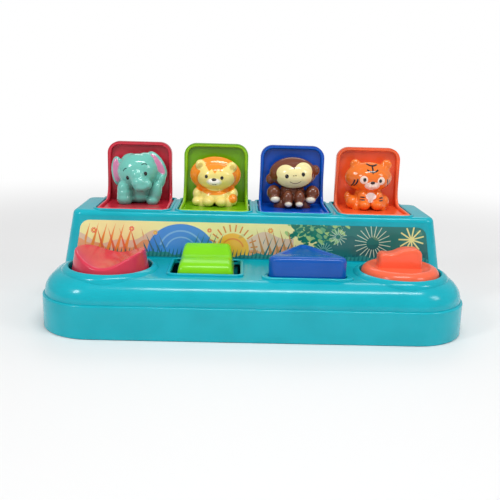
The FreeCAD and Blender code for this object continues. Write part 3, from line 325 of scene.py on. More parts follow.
SLOT_HALF, SLOT_LIP, LIP_FRONT, LIP_BACK = 31.35, 2.3, 5.0, 72.0
for colour, x in HUTCHES.items():
    outline = rectangle(x, (LIP_FRONT, LIP_BACK), SLOT_HALF + SLOT_LIP)
    raised_lip(f"{colour}_slot_lip", outline, (10.5, 10.5, 3.5, 3.5), SLOT_LIP, DECK - 0.6, DECK + 1.2, 0.9)


def turned(bm, x, y, outline):
    """A closed shape turned about an upright line. outline gives radius and height, in millimetres."""
    line = [bm.verts.new(((x + radius) * MM, y * MM, z * MM)) for radius, z in outline]
    edges = [bm.edges.new(pair) for pair in zip(line, line[1:])]
    if outline[0][0] > 0:
        edges.append(bm.edges.new((line[-1], line[0])))
    bmesh.ops.spin(bm, geom=line + edges, cent=(x * MM, y * MM, 0), axis=(0, 0, 1), dvec=(0, 0, 0),
                   angle=2 * math.pi, steps=120, use_merge=True)
    bmesh.ops.remove_doubles(bm, verts=bm.verts, dist=1e-6)
    bmesh.ops.recalc_face_normals(bm, faces=bm.faces)


def quarter(at, radius, start, end, steps=7):
    """Points on an arc about a spot, from one angle to another in degrees."""
    ways = [math.radians(start + (end - start) * step / steps) for step in range(steps + 1)]
    return [(at[0] + radius * math.cos(way), at[1] + radius * math.sin(way)) for way in ways]


FACE_FOOT = 2.6  # where the picture face meets the shelf
for name, x, inner in (("rocker_collar", ROCKER_X, 33.1), ("knob_collar", KNOB_X, 32.6)):
    # the rim is rounded, and its outside runs down into the shelf's front edge
    bm = bmesh.new()
    turned(bm, x, ROUND_Y, [(inner, SHELF - 0.6)] + quarter((inner + 1.3, SHELF + 1.6), 1.3, 180, 72)
           + [(inner + 3.2, SHELF + 2.0), (inner + 4.8, SHELF + 0.9), (inner + 5.9, SHELF - 0.9),
              (inner + 6.5, SHELF - 4), (inner + 6.8, SHELF - 9), (inner + 5.8, SHELF - 9)])
    bmesh.ops.bisect_plane(bm, geom=bm.verts[:] + bm.edges[:] + bm.faces[:], plane_co=(0, FACE_FOOT * MM, 0),
                           plane_no=(0, 1, 0), clear_outer=True)
    soft_shaded(bm, 50)
    moulding(bm, name, teal, "case")

SLIDE_HALF, SLIDE_REACH, SLIDE_TRAVEL, SLIDE_GAP, SLIDE_LIP = 22.7, 22.5, 4.5, 0.6, 2.9
deep = SLIDE_REACH + SLIDE_GAP + SLIDE_LIP
outline = rectangle(SLIDE_X, (SLIDE_Y - deep, SLIDE_Y + deep), SLIDE_HALF + SLIDE_TRAVEL + SLIDE_GAP + SLIDE_LIP)
raised_lip("slide_collar", outline, (7, 7, 5, 5), SLIDE_LIP, SHELF - 0.5, SHELF + 1.7, 1.0)


def button_corners(grow):
    """The corners of the push button's outline, grown all round."""
    tall, half, front, back = 57.9, 36.2, -56, 1.9
    slant = math.hypot(half, tall)
    wide = half + grow * (slant + half) / tall
    return [(BUTTON_X - wide, front - grow), (BUTTON_X + wide, front - grow), (BUTTON_X, back + grow * slant / half)]


raised_lip("button_collar", button_corners(3.6), (16, 16, 9), 2.8, SHELF - 0.5, SHELF + 1.8, 1.1)


# ---- picture label ------------------------------------------------------------------------------------------
# A die-cut sheet of printed and laminated film on the leaning face of the case. Its print is a plain landscape:
# layered hills, reeds and broad leaves under a pale sky.
FACE_LOW, FACE_LEAN = 27.0, (3.0 - 1.5) / (DECK - 27.0)
LABEL_PROUD, LABEL_THICK = 0.35, 0.33


def on_label(x, z):
    """A point on the label's front, given across and up."""
    return (x * MM, (1.5 + (z - FACE_LOW) * FACE_LEAN - LABEL_PROUD) * MM, z * MM)


label = plastic("printed_label_film", ink(246, 238, 164), 0.16, 0.004, 0.3)
right, _, up = label.axes(0, 0, 46)


def ridge(base, *waves):
    """1 under a rolling line: its height, then the height, length and shift of each wave."""
    line = base
    for height, length, shift in waves:
        line = ((right + shift) * (2 * math.pi / length)).sum("SINE") * height + line
    return label.edge(up - line, 0.15, -0.15)


def between(start, end):
    """1 from one place across the label to another."""
    return label.edge(right, start - 0.3, start + 0.3) * label.edge(right, end + 0.3, end - 0.3)


def blades(start, end, pitch, lean, tall, wide):
    """A row of tapering blades of grass that lean one way."""
    row = ((right - up * lean) / pitch).sum("FRACT") - 0.5
    width = (1 - up / tall) * (wide / 2)
    return label.edge(width - row.sum("ABSOLUTE") * pitch, -0.08, 0.12) * between(start, end)


def burst(at, rays, near, far, wide):
    """Thin lines that spread from a spot."""
    reach_x, reach_z = right - at[0], up - at[1]
    way = reach_z.sum("ARCTAN2", reach_x) * (rays / (2 * math.pi))
    reach = (reach_x * reach_x + reach_z * reach_z).sum("POWER", 0.5)
    off = (way.sum("FRACT") - 0.5).sum("ABSOLUTE") * reach * (2 * math.pi / rays)
    return (label.edge(off, wide, wide * 0.5) * label.edge(reach, near - 0.2, near + 0.2)
            * label.edge(reach, far + 0.3, far - 0.3))


def leaves(long, slim, turn, full):
    """Scattered leaves, all pointing one way, and a random shade for each."""
    cos, sin = math.cos(math.radians(turn)), math.sin(math.radians(turn))
    spots = label.node("ShaderNodeCombineXYZ", {}, {0: (right * cos + up * sin) / long,
                                                    1: (up * cos - right * sin) / slim})
    near, dye = (label.node("ShaderNodeTexVoronoi", {"voronoi_dimensions": "2D"},
                            {"Vector": spots, "Scale": 1, "Randomness": 0.75}, output) for output in (0, 1))
    tone = label.node("ShaderNodeSeparateColor", {}, {0: dye})
    return label.edge(near, full, full - 0.07), tone


def thicket(mask, tone, density):
    """Keep whole leaves, more of them where the density is high."""
    return mask * label.edge(density - tone, -0.02, 0.02)


leaf_mask, leaf_tone = leaves(7.4, 3.4, 28, 0.45)
back_leaf_mask, back_leaf_tone = leaves(8.6, 3.8, -38, 0.46)
wander = label.noise(95, 2) * 26 - 13
canopy = (label.edge(right + wander, 22, 40) * label.edge(right + wander, 84, 66)
          * label.edge(up + wander * 0.4, 9, 22))
shade = label.edge(canopy, 0.55, 0.65)
pool = label.edge(right - up * 0.6 + wander * 0.15, 44.6, 45.4)
shore = between(-154, 34)
print_layers = [
    (ridge(17, (5, 90, 10), (2, 31, 0)) * shore, ink(230, 200, 170)),
    (ridge(10, (4, 62, 40), (1.6, 19, 3)) * shore, ink(238, 164, 116)),
    (label.blot(right, up, (-62, 4), (29, 25), 0, 0.3), ink(70, 144, 222)),
    (label.arc(right, up, (-62, 4), 19, 1.4, 90, 70) + label.arc(right, up, (-62, 4), 13.5, 1.2, 90, 70),
     ink(128, 184, 232)),
    (label.blot(right, up, (-18, 8), (14, 14), 0, 0.3), ink(250, 190, 62)),
    (burst((-18, 8), 24, 15.4, 21.5, 0.8), ink(222, 132, 52)),
    (label.arc(right, up, (-18, 8), 9.2, 1.4, 90, 75), ink(240, 144, 56)),
    (shade, ink(14, 128, 104)),
    (pool, ink(36, 122, 116)),
    (thicket(back_leaf_mask, back_leaf_tone, canopy),
     label.mix(back_leaf_tone, ink(176, 212, 130), ink(70, 164, 128))),
    (thicket(leaf_mask, leaf_tone, canopy * 0.8), label.mix(leaf_tone, ink(18, 112, 92), ink(40, 138, 110))),
    (ridge(15, (5, 74, 8), (2.2, 27, 5)) * pool, ink(28, 108, 106)),
    (ridge(7, (4, 58, 30), (1.4, 23, 0)) * between(44, 154), ink(20, 96, 98)),
    (burst((102, 16), 20, 5.5, 15.5, 0.4), ink(206, 232, 206)),
    (burst((72, 21), 14, 2.0, 7.5, 0.35), ink(196, 224, 196)),
    (burst((60, 8), 18, 2.5, 8.0, 0.3), ink(150, 208, 190)),
    (burst((135, 20), 11, 1.5, 11.0, 0.8) + label.blot(right, up, (135, 20), (2.2, 2.2), 0, 0.3), ink(232, 232, 152)),
    (blades(-144, -104, 7.2, 0.30, 29, 4.4), ink(236, 146, 66)),
    (blades(-136, -94, 9.4, -0.26, 25, 3.4), ink(226, 114, 70)),
    (blades(-94, -76, 5.4, -0.42, 21, 2.4), ink(62, 112, 132)),
    (blades(-50, -26, 5.2, 0.36, 23, 2.4), ink(58, 124, 128)),
    (blades(-2, 34, 6.6, -0.3, 27, 3.4), ink(200, 140, 80)),
    (blades(8, 36, 5.7, 0.38, 20, 2.4), ink(46, 116, 120)),
    (ridge(3.4, (1.2, 44, 5), (0.7, 13, 0)), ink(52, 140, 134)),
    (blades(-154, 154, 3.4, 0.2, 8.6, 2.0), ink(28, 112, 112)),
]
for x, z, radius, petal in ((-136, 22, 2.6, ink(238, 112, 70)), (-104, 24, 2.2, ink(236, 96, 84)),
                            (-84, 21, 1.8, ink(240, 176, 80)), (-38, 24, 1.9, ink(234, 120, 84)),
                            (14, 25, 2.4, ink(240, 150, 70))):
    print_layers.append((burst((x, z), 8, 0.0, radius, 0.75), petal))
    print_layers.append((label.blot(right, up, (x, z), (radius * 0.36, radius * 0.36), 0, 0.2), ink(250, 226, 120)))
printed = label.skin
for mask, tint in print_layers:
    printed = label.mix(mask, printed, tint)
label.feed("Base Color", printed)
bm = bmesh.new()
spots = [bm.verts.new(on_label(x, z)) for x, z in ((-151.5, 46.4), (151.5, 46.4), (146.4, 76.8), (-146.4, 76.8))]
bm.faces.new(spots)
for spot in spots[2:]:
    bmesh.ops.bevel(bm, geom=[spot], offset=7 * MM, affect="VERTICES", segments=10, profile=0.5, material=-1)
moved_copy(bm, (0, LABEL_THICK, 0))
moulding(bm, "picture_label", label, "case", ["face_label"])


# ---- hutches ------------------------------------------------------------------------------------------------
# Each hutch is one glossy moulding: an upright panel with a raised rim round a shallow recess, and a floor plate
# in one with it. The rim runs down into the floor's sides in a hollow curve.
PANEL_HALF, PANEL_TOP = 29.3, 138.0
FLOOR_HALF, FLOOR_FRONT, FLOOR_TOP = 30.5, 9.0, 84.0
# each hutch has its panel colour and a paler rim colour; the paler one is painted light on the rolled rim
HUTCH_COLOURS = {"red": (ink(196, 40, 58), ink(222, 54, 74)), "green": (ink(112, 172, 0), ink(150, 208, 24)),
                 "blue": (ink(0, 74, 182), ink(0, 92, 204)), "orange": (ink(240, 92, 44), ink(248, 110, 64))}
RIM = 1.6


def rolled_rim(colour, x, finish):
    """The rounded bead that runs round the panel, down the cheeks and along the floor's sides and front."""
    panel, plate = PANEL_HALF - RIM, FLOOR_HALF - RIM
    front, face, low, top = FLOOR_FRONT + RIM, 64.5, FLOOR_TOP + 0.7, PANEL_TOP - RIM
    half_path = [(9, front, low), (plate - 9, front, low), (plate, front, low), (plate, front + 9, low),
                 (plate, face - 31, low), (plate - 0.4, face, low), (panel, face, low + 30), (panel, face, top - 22),
                 (panel, face, top), (panel - 22, face, top)]
    route = half_path + [(-right, back, up) for right, back, up in reversed(half_path)]
    bead_curve = bpy.data.curves.new(f"{colour}_rim_line", "CURVE")
    bead_curve.dimensions = "3D"
    line = bead_curve.splines.new("NURBS")
    line.points.add(len(route) - 1)
    for point, (right, back, up) in zip(line.points, route):
        point.co = ((x + right) * MM, back * MM, up * MM, 1)
    line.use_cyclic_u = True
    line.order_u = 3
    line.resolution_u = 12
    bead_curve.bevel_depth = RIM * MM
    bead_curve.bevel_resolution = 4
    round_bar = bpy.data.objects.new(f"{colour}_rim_line", bead_curve)
    bpy.context.scene.collection.objects.link(round_bar)
    shaped = bpy.data.meshes.new_from_object(round_bar.evaluated_get(bpy.context.evaluated_depsgraph_get()))
    bpy.data.objects.remove(round_bar)
    bm = bmesh.new()
    bm.from_mesh(shaped)
    bmesh.ops.recalc_face_normals(bm, faces=bm.faces)
    soft_shaded(bm)
    moulding(bm, f"{colour}_rolled_rim", finish, f"{colour}_flap")


for colour, x in HUTCHES.items():
    deep, pale = HUTCH_COLOURS[colour]
    finish = plastic(f"{colour}_hutch_plastic", deep, 0.22, 0.012, 0.12)
    # the rolled edge is painted paler than the panel: painted light, standing for the highlight along it and the
    # light it lets through
    painted_light_rim_finish = plastic(f"{colour}_painted_light_rim_plastic", pale, 0.18, 0.012, 0.2)
    bm = joined_copy(f"{colour}_hutch")
    soft_shaded(bm)
    shell = moulding(bm, f"{colour}_hutch_shell", finish, f"{colour}_flap", [f"{colour}_hutch"])
    ease = shell.modifiers.new("eased_edges", "BEVEL")
    ease.width = 0.5 * MM
    ease.segments = 3
    ease.limit_method = "ANGLE"
    ease.angle_limit = math.radians(40)
    ease.harden_normals = True
    rolled_rim(colour, x, painted_light_rim_finish)


# ---- figures ------------------------------------------------------------------------------------------------
# Four soft-looking animals, each one moulding in glossy vinyl with sprayed and stamped details: fused rounded
# forms, with glossy beads for eyes and nose. Every spot is in millimetres: right of the hutch's middle, out from
# the panel and up from the floor.
PANEL_FRONT = 66.5
BEAD_BLACK = plastic("bead_black_paint", ink(24, 18, 20), 0.08, 0.0, 0.6)


def lump(bm, x, out, z, wide, deep, tall, turn=0.0):
    """Add an egg shape; turn is clockwise as seen from the front."""
    shape = (Matrix.Translation(Vector((x, -out, z)) * MM) @ Matrix.Rotation(math.radians(turn), 4, "Y")
             @ Matrix.Diagonal((wide * MM, deep * MM, tall * MM, 1)))
    bmesh.ops.create_icosphere(bm, subdivisions=4, radius=1, matrix=shape)


def fused_figure(name, colour, lumps, finish, melting=13):
    """Fuse a heap of egg shapes into one skin, standing on the hutch floor with its back to the panel."""
    bm = bmesh.new()
    for spec in lumps:
        lump(bm, *spec)
    bmesh.ops.translate(bm, verts=bm.verts, vec=(HUTCHES[colour] * MM, PANEL_FRONT * MM, FLOOR_TOP * MM))
    mesh = bpy.data.meshes.new(name + "_heap")
    bm.to_mesh(mesh)
    bm.free()
    heap = bpy.data.objects.new(name + "_heap", mesh)
    bpy.context.scene.collection.objects.link(heap)
    skin = heap.modifiers.new("skin", "REMESH")
    skin.mode = "VOXEL"
    skin.voxel_size = 0.5 * MM
    melt = heap.modifiers.new("melt", "SMOOTH")
    melt.factor, melt.iterations = 0.6, melting
    shaped = bpy.data.meshes.new_from_object(heap.evaluated_get(bpy.context.evaluated_depsgraph_get()))
    bpy.data.objects.remove(heap)
    bm = bmesh.new()
    bm.from_mesh(shaped)
    # the back is cut flat where it meets the panel, and the feet where they stand
    for spot, way in (((0, (PANEL_FRONT - 0.2) * MM, 0), (0, 1, 0)), ((0, 0, (FLOOR_TOP + 0.05) * MM), (0, 0, -1))):
        cut = bmesh.ops.bisect_plane(bm, geom=bm.verts[:] + bm.edges[:] + bm.faces[:], plane_co=spot, plane_no=way,
                                     clear_outer=True)
        bmesh.ops.holes_fill(bm, edges=[part for part in cut["geom_cut"] if isinstance(part, bmesh.types.BMEdge)])
    bmesh.ops.recalc_face_normals(bm, faces=bm.faces)
    soft_shaded(bm, 50)
    return moulding(bm, name + "_figure", finish, f"{colour}_flap", [name])


def bead(name, colour, skin, at, size, finish, sink=0.4, turn=0.0):
    """A glossy bead pressed into a figure's front: at gives its place across and up, and the skin gives the depth."""
    x, z = HUTCHES[colour] + at[0], FLOOR_TOP + at[1]
    hit, spot, normal, _ = skin.ray_cast(Vector((x, -100, z)) * MM, Vector((0, 1, 0)))
    bm = bmesh.new()
    bmesh.ops.create_uvsphere(bm, u_segments=32, v_segments=20, radius=1)
    bmesh.ops.scale(bm, verts=bm.verts, vec=(size[0] * MM, size[1] * MM, size[2] * MM))
    bmesh.ops.rotate(bm, verts=bm.verts, matrix=Matrix.Rotation(math.radians(turn), 3, "Z"))
    bmesh.ops.rotate(bm, verts=bm.verts, matrix=normal.to_track_quat("Z", "Y").to_matrix())
    bmesh.ops.translate(bm, verts=bm.verts, vec=spot - normal * size[2] * sink * MM)
    soft_shaded(bm, 80)
    return moulding(bm, name, finish, f"{colour}_flap")


# ---- elephant -----------------------------------------------------------------------------------------------
# Mint green, head tipped to its left, ears out with pink linings, trunk curled down between its forelegs.
mint = plastic("elephant_vinyl", ink(112, 196, 182), 0.16, 0.01, 0.6)
right, back, up = mint.axes(HUTCHES["red"], PANEL_FRONT, FLOOR_TOP)
lining = (mint.blot(right, up, (-19.4, 29), (3.3, 10.8), 4, 0.8) * mint.edge(back, -17.5, -16.5)
          + mint.blot(right, up, (17.6, 35.5), (3.4, 10.5), 34, 0.8) * mint.edge(back, -17.5, -16.5))
brows = (mint.arc(right, up, (-8.0, 29.0), 3.6, 0.75, 132, 36) + mint.arc(right, up, (7.2, 33.3), 3.6, 0.75, 92, 40))
skin_tint = mint.mix(mint.edge(lining, 0.2, 0.8), mint.skin, ink(214, 130, 170))
mint.feed("Base Color", mint.mix(brows * mint.edge(back, -20, -22), skin_tint, ink(40, 60, 62)))
elephant = fused_figure("elephant", "red", [
    (0, 11, 13, 15, 9.5, 14), (-0.2, 16, 28.8, 18, 14, 16), (-6.4, 13, 36.5, 9.6, 9, 8.2),
    (6.2, 13, 37.6, 9.8, 9, 8), (-18.8, 12, 28, 5.8, 4.5, 13.6, -4), (16.6, 12, 34, 7, 4.5, 14.2, -30),
    (-11.6, 20, 13, 6.6, 7.5, 9), (-11.4, 21, 8.4, 6.9, 7.8, 8), (-11.2, 22, 4.6, 7.2, 7.8, 6.4),
    (15.8, 18, 9, 5.6, 7.5, 12, 14), (13.4, 20.5, 3.4, 5.6, 6.5, 5), (20, 14, 20, 4.4, 5.5, 8, 16),
    (0, 13, 4.6, 12, 8, 5),
    (1.0, 26, 25, 7, 7, 8), (3.0, 29, 20, 7.2, 6.4, 6.4), (4.2, 30.5, 16.6, 6.4, 5, 4.6),
    (9.6, 28.5, 18.6, 4.6, 4.8, 4.8)], mint, 24)
for side, at in (("left", (-7.7, 24.2)), ("right", (8.3, 28.3))):
    bead(f"elephant_eye_{side}", "red", elephant, at, (1.75, 2.0, 0.9), BEAD_BLACK)


# ---- lion ---------------------------------------------------------------------------------------------------
# Pale yellow with an orange mane and tail tuft, a white muzzle and a black nose, lying on its folded forelegs.
sand = plastic("lion_vinyl", ink(244, 224, 130), 0.18, 0.01, 0.5)
right, back, up = sand.axes(HUTCHES["green"], PANEL_FRONT, FLOOR_TOP)
zigzag = (right + 0.4).sum("PINGPONG", 2.6) * 1.1
face = (sand.blot(right, up, (0.6, 24.6), (16.4, 10.8), 0, 0.5)
        + sand.blot(right, up, (-13.6, 36.3), (4.6, 4.6), 0, 0.5)
        + sand.blot(right, up, (14.4, 34.8), (4.6, 4.6), 0, 0.5)
        + sand.blot(right, up, (0.5, 31), (14, 6), 0, 0.5))
forelock = sand.edge(up - zigzag - right.sum("ABSOLUTE") * 0.35, 29.6, 30.2) * sand.edge(
    right.sum("ABSOLUTE"), 9.0, 8.2)
mane = (1 - sand.edge(face, 0.3, 0.7)) * sand.blot(right, up, (-0.2, 27.4), (24.5, 17), 0, 0.5) + forelock
tuft = sand.blot(right, up, (16.2, 7.2), (3.9, 4.0), 0, 0.6)
tint = sand.mix(sand.edge(mane + tuft, 0.4, 0.6), sand.skin, ink(253, 148, 30))
tint = sand.mix(sand.blot(right, up, (-1, 22.4), (6.4, 3.4), 0, 0.7), tint, ink(252, 246, 232))
# painted shade: a darker yellow disc in each ear stands for the shade in its hollow
painted_ear_shade = (sand.blot(right, up, (-13.8, 36.4), (2.2, 2.3), 0, 0.9)
            + sand.blot(right, up, (14.6, 35), (2.2, 2.3), 0, 0.9))
tint = sand.mix(painted_ear_shade * sand.edge(back, -17, -18.5) * 0.75, tint, ink(206, 178, 84))
smile = sand.arc(right, up, (-0.6, 22.6), 2.3, 0.5, 270, 50)
sand.feed("Base Color", sand.mix(smile * sand.edge(back, -20, -22), tint, ink(60, 40, 30)))
lion = fused_figure("lion", "green", [
    (-0.2, 13, 27.2, 23.2, 9.5, 16.4), (0.6, 17, 26, 18, 13, 12.6), (-13.6, 18, 36.6, 4.6, 3.4, 4.6),
    (14.4, 18, 35, 4.6, 3.4, 4.6), (0, 13, 9, 16, 10.5, 10), (0, 20, 8.6, 12, 7, 7.4), (-15.8, 16, 9.6, 4.8, 7, 6.4),
    (-16, 20, 3.6, 5, 6.5, 4.2), (-5.8, 25.5, 4.4, 5.4, 7.5, 4.8), (5.6, 25.5, 4.4, 5.4, 7.5, 4.8),
    (15.8, 16, 9.8, 4.8, 7, 6.4), (15.8, 20, 5.4, 4.4, 5.5, 5.2), (-10.5, 20, 2, 5.6, 6.4, 6.4),
    (10.5, 20, 2, 5.6, 6.4, 6.4), (-1, 27, 22.6, 6, 4.4, 3.6)], sand)
for side, at in (("left", (-7.9, 27.2)), ("right", (6.0, 26.4))):
    bead(f"lion_eye_{side}", "green", lion, at, (1.6, 1.75, 0.8), BEAD_BLACK)
bead("lion_nose", "green", lion, (-1, 24.9), (2.3, 1.6, 1.3), BEAD_BLACK)


# ---- monkey -------------------------------------------------------------------------------------------------
# Chocolate brown with a cream heart-shaped face, pale hands and pale feet, sitting with its knees up.
brown = plastic("monkey_vinyl", ink(112, 58, 36), 0.18, 0.01, 0.5)
right, back, up = brown.axes(HUTCHES["blue"], PANEL_FRONT, FLOOR_TOP)
front = brown.edge(back, -18, -19)
heart = (brown.blot(right, up, (-7.2, 31.6), (8.2, 7.2), 12, 0.5)
         + brown.blot(right, up, (8.2, 33.4), (8.4, 7.6), 0, 0.5)
         + brown.blot(right, up, (1.0, 26.8), (15.6, 8.4), 6, 0.5))
palms = (brown.blot(right, up, (-15.7, 7.8), (4.2, 2.6), 0, 0.5)
         + brown.blot(right, up, (16.1, 8.0), (4.2, 2.6), 0, 0.5)
         + brown.blot(right, up, (-4.2, 4.6), (3.2, 2.0), 0, 0.5)
         + brown.blot(right, up, (5.6, 4.8), (3.2, 2.0), 0, 0.5))
tint = brown.mix(brown.edge(heart, 0.4, 0.6) * front, brown.skin, ink(246, 232, 168))
tint = brown.mix(palms * front, tint, ink(236, 228, 206))
marks = (brown.arc(right, up, (1.0, 30.6), 7.6, 0.55, 275, 42)
         + brown.blot(right, up, (-0.4, 30), (0.7, 0.45), 0, 0.2)
         + brown.blot(right, up, (1.5, 30.2), (0.7, 0.45), 0, 0.2))
brown.feed("Base Color", brown.mix(marks * front, tint, ink(92, 48, 30)))
monkey = fused_figure("monkey", "blue", [
    (0, 14, 30.6, 21.4, 11.5, 14.4), (0.8, 19, 29, 17.5, 11.5, 12.5), (-20, 13, 24.6, 4.4, 3.8, 5.2),
    (20, 13, 33.2, 4.4, 3.8, 5.2), (0, 13, 10, 13, 10.5, 12), (-17, 18, 12.6, 6.4, 7, 7.2), (18, 18, 13, 6.4, 7, 7.2),
    (-16, 23, 7.6, 5, 5, 4), (16.2, 23, 7.8, 5, 5, 4), (-4.6, 25, 8.4, 5, 6.6, 8), (6, 25, 8.6, 5, 6.6, 8),
    (-4.2, 29, 4.4, 3.8, 4.6, 3.6), (5.6, 29, 4.4, 3.8, 4.6, 3.6), (-10.5, 19, 2, 6.5, 7, 6.4),
    (10.5, 19, 2, 6.5, 7, 6.4)], brown)
for side, at in (("left", (-6.4, 29.3)), ("right", (8.2, 31.3))):
    bead(f"monkey_eye_{side}", "blue", monkey, at, (1.8, 1.95, 0.8), BEAD_BLACK)


# ---- tiger --------------------------------------------------------------------------------------------------
# Bright orange with black stripes, white round the eyes, a pale muzzle and a white bib, sitting up.
tiger_orange = plastic("tiger_vinyl", ink(243, 120, 32), 0.18, 0.01, 0.5)
right, back, up = tiger_orange.axes(HUTCHES["orange"], PANEL_FRONT, FLOOR_TOP)
front = tiger_orange.edge(back, -18, -19)
pale = (tiger_orange.blot(right, up, (-7.3, 27.6), (3.4, 3.6), 0, 0.5)
        + tiger_orange.blot(right, up, (8.2, 27.0), (3.4, 3.6), 0, 0.5)
        + tiger_orange.blot(right, up, (0.4, 22.4), (6.8, 3.6), 0, 0.8))
bib = (tiger_orange.blot(right, up, (0.4, 12.4), (4.6, 3.2), 0, 0.4)
       + tiger_orange.blot(right, up, (0.4, 10.2), (2.4, 4.0), 0, 0.4))
tint = tiger_orange.mix(tiger_orange.edge(pale, 0.4, 0.6) * front, tiger_orange.skin, ink(250, 226, 210))
tint = tiger_orange.mix(tiger_orange.edge(bib, 0.4, 0.6) * front, tint, ink(252, 248, 244))
stripes = 0
for at, radius, middle, spread, wide in (
        ((0.4, 47.6), 8.0, 270, 42, 1.3), ((0.4, 42.0), 7.4, 270, 42, 1.3),
        ((-21, 27.6), 8.5, -22, 26, 1.3), ((-24.6, 27.0), 9.5, -20, 22, 1.3), ((23, 27.6), 8.5, 202, 26, 1.3),
        ((26.6, 27.0), 9.5, 200, 22, 1.3)):
    stripes = tiger_orange.arc(right, up, at, radius, wide, middle, spread) + stripes
for at in ((-7.2, 11.8), (-7.2, 9.4), (9.8, 11.4), (9.8, 9.0)):
    stripes = stripes + tiger_orange.blot(right, up, at, (2.4, 0.65), 0, 0.2)
stripes = stripes + tiger_orange.blot(right, up, (0.4, 36.6), (0.8, 3.8), 0, 0.2)
tiger_orange.feed("Base Color", tiger_orange.mix(tiger_orange.edge(stripes, 0.3, 0.7) * front, tint, ink(48, 30, 26)))
tiger = fused_figure("tiger", "orange", [
    (-1.2, 14.5, 28.6, 21.4, 12, 13.8), (0.2, 18, 27.6, 17.5, 11.5, 12), (-13.6, 14, 39.6, 5, 3.2, 5),
    (14.6, 14, 39.8, 5, 3.2, 5), (0, 13, 12, 12.5, 10.5, 13), (-6, 20, 9.5, 5.6, 7, 8.5), (7, 20, 9.5, 5.6, 7, 8.5),
    (-5.4, 25, 4.4, 5.6, 6.5, 4.6), (6.4, 25, 4.4, 5.6, 6.5, 4.6), (-14.6, 16, 6, 6.5, 8, 6.4),
    (13.4, 16, 6.4, 5.6, 7, 6.6), (-19, 13, 10.4, 3, 4, 4.6), (-11, 20.5, 1.5, 4.2, 5.5, 7),
    (11, 20.5, 1.5, 4.2, 5.5, 7), (0.4, 25.5, 22.6, 6.4, 4, 3.8)], tiger_orange)
for side, at in (("left", (-6.7, 27.8)), ("right", (7.5, 27.1))):
    bead(f"tiger_eye_{side}", "orange", tiger, at, (1.6, 1.8, 0.8), BEAD_BLACK)
bead("tiger_nose", "orange", tiger, (0.5, 25.2), (2.2, 1.5, 1.2), BEAD_BLACK)


# ---- rocker -------------------------------------------------------------------------------------------------
# A round red button, moulded hollow and hung on a steel axle so that it tips either way. Its wall leans in, its rim
# is rolled, and a saddle is pressed across its top.
FOOT_TOP = 44  # just under the shelf's top


def hidden_foot(bm, node):
    """Add the part of a CAD node that the case hides: its skirt, stops and foot."""
    foot = joined_copy(node)
    bmesh.ops.bisect_plane(foot, geom=foot.verts[:] + foot.edges[:] + foot.faces[:], plane_co=(0, 0, FOOT_TOP * MM),
                           plane_no=(0, 0, 1), clear_outer=True)
    mesh = bpy.data.meshes.new(node + "_foot")
    foot.to_mesh(mesh)
    foot.free()
    bm.from_mesh(mesh)
    bpy.data.meshes.remove(mesh)


def wall_radius(z):
    """The leaning wall's radius at a height."""
    return 30.8 - (z - FOOT_TOP) * 0.19


coral_red = plastic("rocker_red_plastic", ink(216, 56, 80), 0.2)
bm = bmesh.new()
turned(bm, ROCKER_X, ROUND_Y, [(radius * 1.2, 62.2) for radius in range(21)]
       + quarter((wall_radius(59) - 2.6, 59.6), 2.6, 90, 11)
       + [(wall_radius(z), z) for z in (57.5, 56, 54, 52, 50, 48, 46, 44)] + [(30.8, 43.2), (0, 43.2)])
for vert in bm.verts:
    x, y, z = vert.co.x / MM - ROCKER_X, vert.co.y / MM - ROUND_Y, vert.co.z / MM
    if z > FOOT_TOP + 0.5:
        # the valley runs front to back, turned a little; the wall under it is pressed down in proportion
        dip = 11 * math.cos(math.pi * (x - 0.11 * y) / 66) ** 2 * min((z - FOOT_TOP) / 15.6, 1)
        radius = math.hypot(x, y)
        spread = 1 + (wall_radius(z - dip) - wall_radius(z)) * (radius / 28) ** 3 / max(radius, 1)
        vert.co = Vector((ROCKER_X + x * spread, ROUND_Y + y * spread, z - dip)) * MM
hidden_foot(bm, "rocker_button")
soft_shaded(bm, 60)
moulding(bm, "rocker_shell", coral_red, "rocker", ["rocker_button"])


# ---- slide block --------------------------------------------------------------------------------------------
# A green block with a rolled ridge along its back and a low bulge in front to push against, its ends leaning in;
# it slides in a long opening in the shelf.
lime = plastic("slide_green_plastic", ink(126, 214, 4), 0.24)
bm = bmesh.new()
rounded_face(bm, [(SLIDE_X - SLIDE_HALF, y, z) for y, z in ((-5, 41.5), (-5, 61.8), (-18, 61.8), (-27.5, 53.6),
                                                             (-36, 55.6), (-50, 52.4), (-50, 41.5))],
             (0, 5.5, 7, 6, 4, 6, 0), 7)
moved_copy(bm, (2 * SLIDE_HALF, 0, 0))
ends = [edge for edge in bm.edges if abs(edge.verts[0].co.x - edge.verts[1].co.x) < 1e-6]
bmesh.ops.bevel(bm, geom=ends, offset=3.4 * MM, affect="EDGES", segments=6, profile=0.5, material=-1)
for vert in bm.verts:
    lean = 1 - max(vert.co.z / MM - 43, 0) * 0.009
    vert.co.x = (SLIDE_X + (vert.co.x / MM - SLIDE_X) * lean) * MM
soft_shaded(bm, 50)
moulding(bm, "slide_block_shell", lime, "slider", ["slide_block"])


# ---- push button --------------------------------------------------------------------------------------------
# A rounded triangular blue button, moulded hollow, with a shallow triangular dish in its top.
deep_blue = plastic("button_blue_plastic", ink(0, 84, 176), 0.2)
bm = bmesh.new()
tip = Vector(button_corners(0)[2])
rings = []
ARC_STEPS = 12
WALL_TOP, EDGE_HIGH, EDGE_ROUND, EDGE_STEPS = 58.2, 3.8, 6.9, 7


